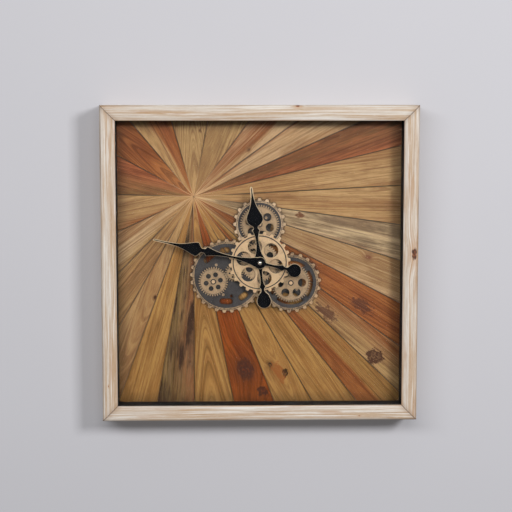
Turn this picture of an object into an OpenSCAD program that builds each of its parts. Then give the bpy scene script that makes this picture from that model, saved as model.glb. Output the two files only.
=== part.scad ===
// Square shadow-box wall clock: a limed wooden frame, a sunburst of tapered planks,
// a train of moving gears on toothed base plates, and a pair of spade hands behind glass.
// X is to the right, Y goes into the wall and Z is up. The origin is the nail, on the wall's face.
// A height called f is a distance in front of the wall.

/* [Frame] */
// Outer width and height of the square frame
frame_size = 600; // [540:5:720]
// Thickness of a rail, from its outer face to its inner wall
rail_wall = 23; // [21:0.5:30]
// How far the front lip stands in from the inner wall of a rail
lip_w = 6; // [4:0.5:9]
// Depth of wood in front of the glass, at the flat of a rail
lip_depth = 5; // [4.5:0.5:8]
// Thickness of the lip at its inner edge
lip_edge = 1.5; // [1:0.1:2.5]
// Width of the bevel that runs down to the lip's edge
bevel_w = 7.5; // [3:0.5:12]
// Radius of the rounded outer front edge
edge_r = 6; // [3:0.5:8]
// Width of the open mitre joint between two rails
mitre_gap = 0.2; // [0:0.05:0.6]

/* [Glass, board and planks] */
// Thickness of the glass
glass_t = 2; // [1.5:0.1:4]
// Thickness of the backing board
board_t = 5; // [3:0.5:9]
// Thickness of the planks
plank_t = 6; // [4:0.5:10]
// Slack all round the glass and the backing board inside the rails
pane_gap = 0.5; // [0.2:0.1:1.5]
// Slack between the planks and the black liner
panel_gap = 0.5; // [0.2:0.1:2]
// Radius of the corners of the planked panel
panel_r = 9; // [2:0.5:20]
// Width of a seam between two planks
seam_w = 0.5; // [0.2:0.1:1.2]
// Sideways place of the sunburst's centre, from the middle of the frame
burst_x = -125.5; // [-160:0.5:160]
// Height of the sunburst's centre, from the middle of the frame
burst_z = 127; // [-160:0.5:160]

/* [Gear train] */
// Height of the hands' axis above the middle of the frame
axis_rise = 2; // [-20:0.5:20]
// Module of the fine-toothed gears: pitch diameter over teeth
fine_module = 1.5; // [1.3:0.05:1.6]
// Teeth of the fine gear behind the main gear
main_teeth = 48; // [44:2:52]
// Teeth of the top gear
top_teeth = 48; // [44:2:50]
// Teeth of the right gear
right_teeth = 48; // [44:2:50]
// Teeth of the idler between the main gear and the left gear
idler_teeth = 22; // [20:1:26]
// Teeth of the left gear
left_teeth = 36; // [32:1:40]
// Play at the pitch circle between two meshing teeth
backlash = 0.16; // [0.1:0.02:0.3]
// Direction from the main gear to the right gear, anticlockwise from the right
right_dir = -34; // [-45:1:-25]
// Direction from the main gear to the idler
idler_dir = 202.4; // [190:0.2:215]
// Direction from the idler to the left gear
left_dir = 203.6; // [190:0.2:215]
// Thickness of the fine-toothed gears
fine_t = 4; // [3:0.5:6]
// Step between the toothed rim of a fine gear and its raised face
rim_step = 0.8; // [0.4:0.1:1.2]
// Thickness of the coarse-toothed main gear
main_t = 4.5; // [3:0.5:7]
// Radius of the main gear over its teeth
main_tip_r = 59; // [56:0.5:62]
// Number of coarse teeth on the main gear
main_coarse = 24; // [18:1:30]
// Height of a coarse tooth
coarse_h = 4.7; // [3:0.1:6]
// Width of a coarse tooth at its root
coarse_root_w = 8.2; // [6:0.1:9]
// Width of a coarse tooth at its tip
coarse_tip_w = 5.2; // [3:0.1:6]
// Radius of the ring groove in the main gear's face
groove_r = 50.5; // [49:0.1:51.5]
// Width of the ring groove
groove_w = 1.4; // [0.8:0.1:2]
// Depth of the ring groove
groove_d = 1; // [0.4:0.1:2]
// Radius of the six round windows in the main gear
main_hole_r = 13.7; // [10:0.1:14.5]
// Radius of the circle that the main gear's windows lie on
main_hole_at = 31.5; // [30:0.5:33]

/* [Base plates] */
// Thickness of the carrier on the planks
carrier_t = 2; // [1.5:0.5:4]
// Thickness of the toothed base plates
plate_t = 3; // [2:0.5:5]
// How far the rim of a base plate stands proud of its face
plate_rim_h = 0.6; // [0.3:0.1:0.8]
// Sideways place of the left plate's centre, from the hands' axis
left_plate_x = -61.5; // [-64:0.5:-58]
// Height of the left plate's centre, from the hands' axis
left_plate_z = -27; // [-30:0.5:-24]
// Radius of the left plate over its teeth
left_plate_r = 71; // [68:0.5:74]
// Number of teeth on the left plate
left_plate_teeth = 29; // [24:1:34]
// Radius of the right ring over its teeth
right_ring_r = 58; // [56:0.5:62]
// Number of teeth on the right ring
right_ring_teeth = 22; // [18:1:26]
// Width of the flat band of the right ring, inside its rim
right_band_w = 6.5; // [4:0.5:8]
// Radius of the top ring over its teeth
top_ring_r = 50; // [48:0.5:54]
// Number of teeth on the top ring
top_ring_teeth = 20; // [16:1:24]
// Width of the sunken band of the top ring, inside its rim
top_band_w = 8; // [5:0.5:10]
// Width of the raised rim of the base plates
plate_rim_w = 4; // [2.5:0.5:4.5]
// Width of a spoke of the two rings
spoke_w = 11; // [7:0.5:14]
// Radius of the hub of the two rings
ring_hub_r = 14; // [10:0.5:18]

/* [Hands] */
// Hour that the hands show
shown_hour = 11; // [0:1:11]
// Minute that the hands show
shown_minute = 47.1; // [0:0.1:59.9]
// Length of the minute hand, from the axis to its tip
minute_len = 207; // [180:1:240]
// Length of the minute hand's tail
minute_tail = 80.5; // [70:0.5:95]
// Length of the hour hand, from the axis to its tip
hour_len = 145.5; // [125:0.5:165]
// Length of the hour hand's tail
hour_tail = 88; // [78:0.5:100]
// Thickness of the hands
hand_t = 1.6; // [1:0.1:2.5]
// Radius of the hour hand's hub
hour_hub_r = 13; // [10:0.5:15]
// Radius of the minute hand's hub
minute_hub_r = 11.5; // [9:0.5:12]
// Clear space between the two hands
hand_gap = 1.4; // [1:0.1:3]
// Radius of the domed nut on the hands
cap_r = 4.25; // [3.5:0.25:6]
// Height of the domed nut
cap_h = 3.4; // [2.5:0.1:4.5]
// Clear space between the domed nut and the glass
glass_clearance = 3; // [1.5:0.5:8]

/* [Clock movement] */
// Width and height of the movement's case
movement_w = 56; // [56:0.5:62]
// Depth of the movement's case
movement_depth = 15.6; // [15.6:0.1:18]
// Wall of both battery cases
case_wall = 1.2; // [1:0.1:1.6]
// Thickness of the rubber washer on the movement
washer_t = 0.8; // [0.5:0.1:1.5]
// Outer radius of the threaded bushing
bushing_r = 3.9; // [3.7:0.1:4.2]
// Outer radius of the hour tube
hour_tube_r = 2.8; // [2.6:0.05:3]
// Radius of the minute arbor
minute_arbor_r = 1.7; // [1.4:0.05:1.9]
// Running clearance, on the radius, of a shaft in its bore
running = 0.05; // [0.02:0.01:0.08]
// Radius of the time-setting knob
knob_r = 6; // [4:0.5:7]
// Thickness of the time-setting knob
knob_t = 1.6; // [1.2:0.1:2.5]

/* [Gear drive] */
// Width of the drive's case
drive_w = 56; // [56:0.5:62]
// Height of the drive's case
drive_h = 50; // [50:0.5:56]
// Depth of the drive's case
drive_depth = 15.6; // [15.6:0.1:18]
// Radius of the drive shaft and of the gear pins
pin_r = 2; // [1.5:0.1:2.5]
// Radius of a gear pin's head
pin_head_r = 3.3; // [2.8:0.1:3.8]
// Radius of the battery cells
cell_r = 7.1; // [7:0.05:7.2]
// Room for the spring strip between a battery cell's end and the wall of its case
contact_room = 1.6; // [1.2:0.1:2.4]

/* [Hanging hardware] */
// Thickness of the hanger plate and of the felt bumpers, which both touch the wall
bumper_t = 2; // [1.5:0.1:3]
// Radius of a felt bumper
bumper_r = 6; // [4:0.5:9]
// Radius of the round part of the hanger's keyhole
keyhole_r = 4.5; // [3.5:0.1:5]
// Half the width of the keyhole's slot
keyhole_slot_r = 2.2; // [1.5:0.1:2.4]
// Width of the hanger plate
hanger_w = 46; // [40:1:60]
// Height of the hanger plate
hanger_h = 17; // [16:0.5:20]
// Radius of the screws' heads
screw_head_r = 2.6; // [2:0.1:3]
// Radius of the screws' shanks
screw_r = 1.3; // [1:0.1:1.6]

/* [Hidden] */
$fn = 64;
over = 1;
touch = 0.1;

// Heights of the gear and hand stack above the planks
plate_boss_h = 0.9;
gear_gap = 1;
deck_gap = 1.5;
nut_gap = 0.6;
nut_t = 2.5;
hand_lift = 1.9;
stack_h = plank_t + carrier_t + plate_t + gear_gap + fine_t + deck_gap + main_t + nut_gap
    + nut_t + hand_lift + hand_t + hand_gap + hand_t + cap_h;

// Heights f in front of the wall
recess_depth = max(washer_t + movement_depth, drive_depth) + knob_t;
rail_back = bumper_t;
board_back = rail_back + recess_depth;
board_front = board_back + board_t;
plank_front = board_front + plank_t;
glass_back = board_front + stack_h + glass_clearance;
lip_back = glass_back + glass_t;
rail_front = lip_back + lip_depth;
plate_back = plank_front + carrier_t;
plate_front = plate_back + plate_t;
fine_back = plate_front + gear_gap;
fine_front = fine_back + fine_t;
main_back = fine_front + deck_gap;
main_front = main_back + main_t;
nut_back = main_front + nut_gap;
hour_back = nut_back + nut_t + hand_lift;
minute_back = hour_back + hand_t + hand_gap;
cap_back = minute_back + hand_t;

// Half widths, from the middle of the frame
frame_half = frame_size / 2;
wall_half = frame_half - rail_wall;
lip_half = wall_half - lip_w;
panel_half = lip_half - panel_gap;
rail_mid = frame_half - rail_wall / 2;
point_len = 16;
point_w = 20;
point_t = 1;
points_along = [-0.6, 0, 0.6];
brace_arm = 42;
brace_w = 10;
brace_t = 1;
brace_screw_in = 30;
rear_screw_len = 12;
hanger_screw_in = 6;
hanger_screw_x = hanger_w / 2 - hanger_screw_in;
hanger_corner_r = 2;
keyhole_rise = 4.2;
keyhole_pocket = 9;
keyhole_margin = 1.5;
screw_head_t = 1;
screw_slot_w = 0.7;
screw_slot_d = 0.5;
screw_slot_in = 0.5;

// Plan of the gears, each place an [x, z] from the hands' axis
function polar(r, a) = [r * cos(a), r * sin(a)];
function mesh_r(za, zb, m) = m * (za + zb) / 2;
main_at = [0, 0];
top_dir = 90;
top_at = polar(mesh_r(main_teeth, top_teeth, fine_module), top_dir);
right_at = polar(mesh_r(main_teeth, right_teeth, fine_module), right_dir);
idler_at = polar(mesh_r(main_teeth, idler_teeth, fine_module), idler_dir);
left_at = idler_at + polar(mesh_r(idler_teeth, left_teeth, fine_module), left_dir);
left_plate_at = [left_plate_x, left_plate_z];

// A tooth of gear A at the angle pa meets a gap of gear B, which lies in the direction d from A
function mesh_phase(d, pa, za, zb) = d + 180 - (0.5 - (d - pa) * za / 360) * 360 / zb;
main_fine_phase = 2;
top_phase = mesh_phase(top_dir, main_fine_phase, main_teeth, top_teeth);
right_phase = mesh_phase(right_dir, main_fine_phase, main_teeth, right_teeth);
idler_phase = mesh_phase(idler_dir, main_fine_phase, main_teeth, idler_teeth);
left_phase = mesh_phase(left_dir, idler_phase, idler_teeth, left_teeth);

// Angles of teeth, windows and spokes, as they stand at rest
main_coarse_phase = 5.3;
main_hole_phase = 46.5;
main_fine_windows = [4, 0.736, 0.204, 33];
top_windows = [6, 0.636, 0.244, 43];
right_windows = [6, 0.667, 0.244, 1];
idler_windows = [6, 0.74, 0.137, 10];
left_windows = [6, 0.606, 0.2, 12];
left_plate_phase = 240;
right_ring_phase = -60.5;
top_ring_phase = 0;
right_spoke_phase = -48;
top_spoke_phase = 45;
fine_rim = 2.2;
pin_recess_r = 5.2;
pin_recess_d = 1.5;
pin_head_lift = 0.1;
pin_head_h = 2.4;
boss_r = 4.5;
bush_r = 6;
bush_flange_r = 10;
main_hub_r = 11;
nut_r = 7;
nut_flange_t = 1;
nut_flange_w = 2;
plate_clear = 0.6;
plate_slots = [[84, 107], [119, 150], [252, 282], [296, 320]];
plate_slot_r = 49.5;
plate_slot_w = 12;
plate_hole_at = [7.8, -39];
plate_hole_r = 3.4;
left_screw_at = 32;
left_screw_dirs = [80, -54];
ring_screw_at = 17.5;
ring_screw_turns = [0, 180];
base_screw_len = 11;
carrier_main_r = 30;
carrier_hub_r = 22;
carrier_arm_w = 18;
shaft_clear = 2;
shaft_hole_r = pin_r + shaft_clear;
coarse_corner = 0.9;
coarse_flare = 0.2;

// Places of the base plates' screws, from the hands' axis
base_screw_at = concat(
    [for (d = left_screw_dirs) left_at + polar(left_screw_at, d)],
    [for (t = ring_screw_turns) right_at + polar(ring_screw_at, right_spoke_phase + t)],
    [for (t = ring_screw_turns) top_at + polar(ring_screw_at, top_spoke_phase + t)]);

// Seams of the sunburst, anticlockwise from the right, and the timber between each pair
seams = [3, 13.7, 24, 36, 53.5, 79, 106, 130, 151.5, 178.5, 205, 225.5, 240, 249.7, 259.8, 270,
    280.8, 291.2, 299.8, 308.3, 316.3, 323.8, 332.5, 342.7, 352.1, 363];
timbers = ["honey", "brown", "tan", "russet", "honey", "tan", "russet", "russet", "tan", "honey",
    "tan", "honey", "tan", "honey", "weathered", "tan", "russet", "honey", "tan", "russet",
    "brown", "russet", "tan", "weathered", "honey"];

// Outlines of the hands: each knot is [distance from the axis, half the width there], and a tail's
// last knot is the middle of its disc
minute_knots = [[0, 10.5], [10, 8.9], [20, 6.2], [30, 4.5], [40, 3.2], [52, 2.5], [66, 2.6],
    [80, 3.8], [92, 6.2], [100, 8.3], [103, 9.1], [104.4, 8.4], [105.4, 6.2], [107, 4.6], [110, 4],
    [113, 4.3], [116, 7.4], [119, 11.3], [122, 13.3], [126, 12.9], [132, 11.1], [140, 8.2],
    [150, 5.2], [160, 3.2], [172, 2.2], [190, 1.9], [204, 1.8], [206.4, 1], [207, 0.4]];
minute_tail_knots = [[0, 8], [12, 3.4], [22, 2.6], [31, 3], [38, 4.4], [43, 5.9], [45, 5.3],
    [47.5, 3.7], [51, 2.9], [54, 4.2], [57, 7], [61, 10.2], [67.4, 10]];
hour_knots = [[0, 12], [10, 9.6], [17, 6.6], [25, 4.5], [33, 3.5], [42, 3], [50, 3.7], [57, 5.4],
    [61.5, 7], [63, 7], [64.4, 5.6], [67, 4.4], [69.5, 5.6], [72, 9.2], [76, 13.2], [80, 15.4],
    [85, 16], [90, 14.9], [100, 10.2], [110, 6.1], [120, 3.8], [130, 2.9], [141, 2.7], [144.6, 1.6],
    [145.5, 0.6]];
hour_tail_knots = [[0, 9], [12, 4.6], [20, 3.1], [32, 2.9], [40, 3.7], [45, 5.8], [47, 6],
    [49.5, 4.3], [52.5, 3.4], [55.5, 4.4], [59, 7.4], [64, 11.2], [74.1, 11]];
minute_disc_r = 13.1;
hour_disc_r = 13.9;
knot_steps = 4;
collet_h = 1.2;
collet_w = 1.8;
dome_extra = 1.6;

// Clock movement, places from the hands' axis
case_corner_r = 3;
case_front = board_back - washer_t;
case_back = case_front - movement_depth;
flange_r = 7;
washer_r = 10;
post_r = 0.8;
wheel_addendum = 0.6;
motion_module = 0.5;
cannon_teeth = 12;
minute_wheel_teeth = 36;
minute_pinion_teeth = 10;
hour_wheel_teeth = 40;
knob_teeth = 10;
minute_wheel_r = mesh_r(cannon_teeth, minute_wheel_teeth, motion_module);
hour_module = 2 * minute_wheel_r / (minute_pinion_teeth + hour_wheel_teeth);
minute_wheel_dir = 210;
minute_wheel_at = polar(minute_wheel_r, minute_wheel_dir);
knob_dir = 250;
knob_at = minute_wheel_at + polar(mesh_r(minute_wheel_teeth, knob_teeth, motion_module), knob_dir);
cannon_phase = 0;
minute_wheel_phase = mesh_phase(minute_wheel_dir, cannon_phase, cannon_teeth, minute_wheel_teeth);
knob_phase = mesh_phase(knob_dir, minute_wheel_phase, minute_wheel_teeth, knob_teeth);
hour_wheel_phase = 0;
minute_pinion_phase = mesh_phase(minute_wheel_dir, hour_wheel_phase, hour_wheel_teeth,
    minute_pinion_teeth);
hour_wheel_t = 1.8;
wheel_t = 1.4;
layer_gap = 0.4;
case_inner = case_front - case_wall;
hour_wheel_front = case_inner - layer_gap;
hour_wheel_back = hour_wheel_front - hour_wheel_t;
motion_front = hour_wheel_back - layer_gap;
motion_back = motion_front - wheel_t;
arbor_lift = 0.8;
arbor_back = case_back + case_wall + arbor_lift;
arbor_boss_h = 3.2;
knob_shaft_r = 1.5;
knob_tip_r = 1.2;
knob_tip_h = 1;
knob_notches = 12;
knob_notch_r = 0.9;
knob_notch_out = 0.4;
knob_boss_r = 3;
knob_gap = 0.2;
case_inner_half = movement_w / 2 - case_wall;
cell_gap = 0.3;
cell_at = [0, case_inner_half - cell_gap - cell_r];
cell_f = case_inner - cell_gap - cell_r;
cell_nub_r = 2.75;
cell_nub_h = 1.4;
bay_wall_t = 0.8;
bay_wall_z = cell_at[1] - cell_r - cell_gap - bay_wall_t;
board_at = [14, -20];
board_size = [22, 10];
board_thick = 1;
board_rib_h = 1.2;
board_rib_w = 2;
coil_r = 3;
coil_len = 15;
coil_flange_t = 1;
coil_flange_h = 0.5;
contact_w = 9;
contact_t = 0.5;

// Gear drive, places from the drive shaft
drive_front = board_back;
drive_back = drive_front - drive_depth;
drive_shift = [12.5, -7];
drive_mid = right_at + drive_shift;
drive_module = 0.5;
output_teeth = 40;
drive_pinion_teeth = 10;
drive_wheel_teeth = 36;
drive_wheel_dir = 15;
motor_dir = -25;
drive_wheel_at = right_at + polar(mesh_r(output_teeth, drive_pinion_teeth, drive_module),
    drive_wheel_dir);
motor_at = drive_wheel_at + polar(mesh_r(drive_wheel_teeth, drive_pinion_teeth, drive_module),
    motor_dir);
output_phase = 0;
drive_pinion_phase = mesh_phase(drive_wheel_dir, output_phase, output_teeth, drive_pinion_teeth);
drive_wheel_phase = 0;
motor_phase = mesh_phase(motor_dir, drive_wheel_phase, drive_wheel_teeth, drive_pinion_teeth);
drive_inner = drive_front - case_wall;
output_front = drive_inner - layer_gap;
output_back = output_front - wheel_t;
reduction_front = output_back - layer_gap;
reduction_back = reduction_front - wheel_t;
motor_r = 8;
motor_h = 6.4;
motor_shaft_r = 0.7;
motor_socket = 1;
motor_shaft_lift = 2;
motor_shaft_back = drive_back + case_wall + motor_shaft_lift;
shaft_lift = 1.8;
shaft_back = drive_back + case_wall + shaft_lift;
shaft_boss_h = 5;
drive_inner_half = drive_w / 2 - case_wall;
drive_cell_at = drive_mid + [0, case_wall + cell_gap + cell_r - drive_h / 2];
drive_cell_f = drive_inner - cell_gap - cell_r;
drive_bay_z = drive_cell_at[1] + cell_r + cell_gap;
ear_w = 9;
ear_h = 12;
ear_t = 2;
drive_screw_at = [for (s = [-1, 1]) drive_mid + [s * (drive_w / 2 + ear_w / 2), 0]];
drive_screw_len = 7;

// The nail is in the middle of the top rail
hang_drop = rail_mid;

// Puts the middle of the frame, or the hands' axis, where it hangs below the nail
module at_frame() translate([0, 0, -hang_drop]) children();
module at_axis() translate([0, 0, axis_rise - hang_drop]) children();
module at(p) translate([p[0], 0, p[1]]) children();

// Turns a flat drawing to face the room, with its back at the height f
module upright(f) translate([0, -f, 0]) rotate([90, 0, 0]) children();
module slab(f, t) upright(f) linear_extrude(t) children();
module rod(f, t, r) upright(f) cylinder(h = t, r = r);

// Rectangle with rounded corners, about its middle
module rounded(w, h, r) {
    square([w - 2 * r, h], center = true);
    square([w, h - 2 * r], center = true);
    for (x = [-1, 1]) for (z = [-1, 1])
        translate([x * (w / 2 - r), z * (h / 2 - r)]) circle(r);
}

// Points of a gear with involute teeth
pressure = 20;
flank_steps = 3;
root_share = 1.25;
function involute(a) = tan(a) * 180 / PI - a;
function half_tooth(z, m, r) = 90 / z - backlash / 4 / (z * m / 2) * 180 / PI
    + involute(pressure) - involute(acos(min(1, z * m / 2 * cos(pressure) / r)));
function tooth(z, m, add, ded) =
    let (pitch_r = z * m / 2, root = pitch_r - ded * m, tip = pitch_r + add * m,
        start = max(pitch_r * cos(pressure), root + 0.1 * m),
        flank = [for (k = [0:flank_steps]) let (r = start + (tip - start) * k / flank_steps)
            [r, half_tooth(z, m, r)]])
    concat([[root, -flank[0][1]]], [for (p = flank) [p[0], -p[1]]],
        [for (k = [flank_steps:-1:0]) flank[k]], [[root, flank[0][1]]]);
function gear_points(z, m, phase, add, ded) =
    [for (i = [0:z - 1]) for (p = tooth(z, m, add, ded)) polar(p[0], phase + i * 360 / z + p[1])];
module gear_outline(z, m, phase, add = 1, ded = root_share)
    polygon(gear_points(z, m, phase, add, ded));

// Disc with coarse square-topped teeth
module coarse_outline(n, tip, phase) {
    root = tip - coarse_h;
    shoulder = coarse_tip_w / 2 + coarse_flare;
    flat = coarse_tip_w / 2 - coarse_corner;
    circle(root);
    for (i = [0:n - 1]) rotate(phase + i * 360 / n)
        polygon([[root - over, -coarse_root_w / 2], [tip - coarse_corner, -shoulder], [tip, -flat],
            [tip, flat], [tip - coarse_corner, shoulder], [root - over, coarse_root_w / 2]]);
}

module ring_of_holes(n, at_r, r, phase)
    for (i = [0:n - 1]) rotate(phase + i * 360 / n) translate([at_r, 0]) circle(r);

// Screw whose head is towards the wall when toward is 1, and towards the room when it is -1
module screw(f, len, toward) {
    slot_len = 2 * (screw_head_r - screw_slot_in);
    translate([0, -f, 0]) rotate([90 * toward, 0, 0]) difference() {
        union() {
            cylinder(h = screw_head_t, r = screw_head_r);
            cylinder(h = len, r = screw_r);
        }
        cube([slot_len, screw_slot_w, 2 * screw_slot_d], center = true);
        cube([screw_slot_w, slot_len, 2 * screw_slot_d], center = true);
    }
}
// Space that such a screw takes up
module screw_space(f, len, toward)
    translate([0, -f, 0]) rotate([90 * toward, 0, 0]) {
        translate([0, 0, -over]) cylinder(h = screw_head_t + over, r = screw_head_r);
        cylinder(h = len + touch, r = screw_r);
    }

// Section of a rail: distance out from the middle of the frame, and height f
module rail_section() {
    arc_steps = 10;
    bevel_end = lip_half + bevel_w;
    polygon(concat(
        [[wall_half, rail_back], [frame_half, rail_back]],
        [for (k = [0:arc_steps]) [frame_half - edge_r, rail_front - edge_r]
            + polar(edge_r, 90 * k / arc_steps)],
        [[bevel_end, rail_front], [lip_half, lip_back + lip_edge], [lip_half, lip_back],
            [wall_half, lip_back]]));
}
module glazing_point(at_x)
    translate([at_x - point_w / 2, -board_back, wall_half - point_len / 2])
        cube([point_w, point_t, point_len]);
module brace_screw_places(turn)
    for (s = [-1, 1]) rotate([0, turn, 0])
        at([s * (rail_mid - brace_screw_in), rail_mid]) children();

module rail(turn) rotate([0, turn, 0]) difference() {
    intersection() {
        rotate([180, 0, 0]) rotate([0, 90, 0]) linear_extrude(frame_size, center = true)
            rail_section();
        slab(0, rail_front + over)
            polygon([[0, mitre_gap], [-frame_size, frame_size + mitre_gap],
                [frame_size, frame_size + mitre_gap]]);
    }
    for (k = points_along) glazing_point(k * wall_half);
    brace_screw_places(0) screw_space(rail_back - brace_t, rear_screw_len, 1);
}

module frame_rail_top() color("wheat") at_frame() difference() {
    rail(0);
    at([0, rail_mid]) {
        slab(rail_back - touch, keyhole_pocket) keyhole_outline(keyhole_margin);
        for (s = [-1, 1]) at([s * hanger_screw_x, 0]) screw_space(0, rear_screw_len, 1);
    }
}
module frame_rail_right() color("wheat") at_frame() rail(90);
module frame_rail_bottom() color("wheat") at_frame() rail(180);
module frame_rail_left() color("wheat") at_frame() rail(270);

module glass_pane() color("lightcyan", 0.3) at_frame()
    slab(glass_back, glass_t) square(2 * (wall_half - pane_gap), center = true);

// Black strips between the backing board and the glass
module liner_bar(len, turn) color("black") at_frame() rotate([0, turn, 0])
    translate([-len / 2, -glass_back, lip_half])
        cube([len, glass_back - board_front, lip_w]);
module liner_top() liner_bar(2 * wall_half, 0);
module liner_bottom() liner_bar(2 * wall_half, 180);
module liner_left() liner_bar(2 * lip_half, 270);
module liner_right() liner_bar(2 * lip_half, 90);

// Holes through the board and the planks for the movement, the drive shaft and the screws
module through_board() {
    at_axis() {
        rod(rail_back, plank_front, bushing_r + running);
        at(right_at) rod(rail_back, plank_front, shaft_hole_r);
        for (p = base_screw_at) at(p) screw_space(plate_front, base_screw_len, -1);
    }
}

module backing_board() color("burlywood") difference() {
    at_frame() slab(board_back, board_t) square(2 * (wall_half - pane_gap), center = true);
    through_board();
    at_axis() for (p = drive_screw_at) at(p) screw_space(drive_front - ear_t, drive_screw_len, 1);
}

module backing_points() color("silver") at_frame()
    for (turn = [0, 90, 180, 270]) rotate([0, turn, 0])
        for (k = points_along) glazing_point(k * wall_half);

// One tapered plank, from the sunburst's centre to the edge of the panel
module plank(i) {
    from = seams[i];
    to = seams[i + 1];
    mid = (from + to) / 2;
    reach = 2 * frame_size;
    apex = [burst_x, burst_z] + polar(seam_w / 2 / sin((to - from) / 2), mid);
    slab(board_front, plank_t) intersection() {
        rounded(2 * panel_half, 2 * panel_half, panel_r);
        polygon([apex, apex + polar(reach, from), apex + polar(reach, to)]);
    }
}
module planks(timber) difference() {
    at_frame() for (i = [0:len(timbers) - 1]) if (timbers[i] == timber) plank(i);
    through_board();
}
module planks_honey() color("peru") planks("honey");
module planks_tan() color("burlywood") planks("tan");
module planks_russet() color("sienna") planks("russet");
module planks_brown() color("saddlebrown") planks("brown");
module planks_weathered() color("dimgray") planks("weathered");

// Keyhole about the nail, each edge moved out by grow
module keyhole_outline(grow) {
    circle(keyhole_r + grow);
    translate([0, keyhole_rise]) circle(keyhole_slot_r + grow);
    translate([-keyhole_slot_r - grow, 0]) square([2 * (keyhole_slot_r + grow), keyhole_rise]);
}
module hanger_plate() color("gray") difference() {
    slab(0, bumper_t) difference() {
        rounded(hanger_w, hanger_h, hanger_corner_r);
        keyhole_outline(0);
    }
    for (s = [-1, 1]) at([s * hanger_screw_x, 0]) screw_space(0, rear_screw_len, 1);
}
module hanger_screws() color("silver")
    for (s = [-1, 1]) at([s * hanger_screw_x, 0]) screw(0, rear_screw_len, 1);

module corner_braces() color("gray") at_frame() difference() {
    for (turn = [0, 90, 180, 270]) rotate([0, turn, 0])
        slab(rail_back - brace_t, brace_t) translate([rail_mid, rail_mid]) {
            translate([brace_w / 2 - brace_arm, -brace_w / 2]) square([brace_arm, brace_w]);
            translate([-brace_w / 2, brace_w / 2 - brace_arm]) square([brace_w, brace_arm]);
        }
    for (turn = [0, 90, 180, 270])
        brace_screw_places(turn) screw_space(rail_back - brace_t, rear_screw_len, 1);
}
module brace_screws() color("silver") at_frame()
    for (turn = [0, 90, 180, 270])
        brace_screw_places(turn) screw(rail_back - brace_t, rear_screw_len, 1);

module wall_bumpers() color("black") at_frame()
    for (x = [-1, 1]) for (z = [-1, 1])
        at([x * rail_mid, z * (rail_mid - brace_arm - 2 * bumper_r)])
            rod(0, bumper_t, bumper_r);

// Flat black spider under the base plates
module carrier_arm(p) {
    length = norm(p);
    rotate(atan2(p[1], p[0])) translate([0, -carrier_arm_w / 2]) square([length, carrier_arm_w]);
}
module gear_carrier() color("dimgray") at_axis() difference() {
    slab(plank_front, carrier_t) difference() {
        union() {
            circle(carrier_main_r);
            for (p = [top_at, right_at, left_at]) carrier_arm(p);
            translate(top_at) circle(carrier_hub_r);
            translate(right_at) circle(carrier_hub_r);
            translate(left_at) circle(left_screw_at + 2 * screw_head_r);
        }
        circle(bushing_r + running);
        translate(right_at) circle(pin_r + running);
        for (p = [top_at, idler_at, left_at]) translate(p) circle(pin_r);
    }
    for (p = base_screw_at) at(p) screw_space(plate_front, base_screw_len, -1);
}

// Slot along an arc, with round ends
module arc_slot(from, to, at_r, w) {
    end_r = 0.53 * w;
    cap = end_r / at_r * 180 / PI;
    reach = 2 * at_r;
    intersection() {
        difference() {
            circle(at_r + w / 2);
            circle(at_r - w / 2);
        }
        union() {
            polygon([[0, 0], polar(reach, from + cap), polar(reach, (from + to) / 2),
                polar(reach, to - cap)]);
            for (a = [from + cap, to - cap]) rotate(a) translate([at_r, 0]) circle(end_r);
        }
    }
}

// Toothed plate with a raised rim, about its own centre
module plate_body(n, tip, phase) {
    root = tip - coarse_h;
    slab(plate_back, plate_t) coarse_outline(n, tip, phase);
    slab(plate_front - touch, plate_rim_h + touch) difference() {
        coarse_outline(n, tip, phase);
        circle(root - plate_rim_w);
    }
}
// Low boss that a gear runs against
module gear_boss(bore_r) difference() {
    rod(plate_front - touch, plate_boss_h + touch, boss_r);
    rod(plate_back, plate_t + over, bore_r);
}

module left_base_plate() color("darkslategray") at_axis() {
    difference() {
        at(left_plate_at) plate_body(left_plate_teeth, left_plate_r, left_plate_phase);
        at(left_plate_at) slab(plate_back - over, plate_t + 2 * over) {
            for (s = plate_slots) arc_slot(s[0], s[1], plate_slot_r, plate_slot_w);
            translate(plate_hole_at) circle(plate_hole_r);
        }
        slab(plate_back - over, plate_t + 2 * over) {
            circle(bush_flange_r + plate_clear);
            translate(right_at) circle(right_ring_r + plate_clear);
            translate(top_at) circle(top_ring_r + plate_clear);
        }
        for (p = [idler_at, left_at]) at(p) rod(plate_back - over, plate_t + 2 * over, pin_r);
        for (p = base_screw_at) at(p) screw_space(plate_front, base_screw_len, -1);
    }
    for (p = [idler_at, left_at]) at(p) gear_boss(pin_r);
}

// Ring with four spokes to a hub, open between them
module spoked_ring(n, tip, phase, band_w, spoke_phase, bore_r) {
    open_r = tip - coarse_h - plate_rim_w - band_w;
    difference() {
        plate_body(n, tip, phase);
        slab(plate_back - over, plate_t + 2 * over) difference() {
            circle(open_r);
            circle(ring_hub_r);
            for (i = [0:3]) rotate(spoke_phase + 90 * i) translate([0, -spoke_w / 2])
                square([open_r + over, spoke_w]);
        }
        rod(plate_back - over, plate_t + 2 * over, bore_r);
    }
    gear_boss(bore_r);
}
module right_base_ring() color("darkslategray") at_axis() difference() {
    at(right_at) spoked_ring(right_ring_teeth, right_ring_r, right_ring_phase, right_band_w,
        right_spoke_phase, pin_r + running);
    for (p = base_screw_at) at(p) screw_space(plate_front, base_screw_len, -1);
}
module top_base_ring() color("rosybrown") at_axis() difference() {
    sunk_r = top_ring_r - coarse_h - plate_rim_w;
    at(top_at) spoked_ring(top_ring_teeth, top_ring_r, top_ring_phase, top_band_w,
        top_spoke_phase, pin_r);
    at(top_at) slab(plate_front - plate_rim_h, over) difference() {
        circle(sunk_r);
        circle(sunk_r - top_band_w);
    }
    for (p = base_screw_at) at(p) screw_space(plate_front, base_screw_len, -1);
}
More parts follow.
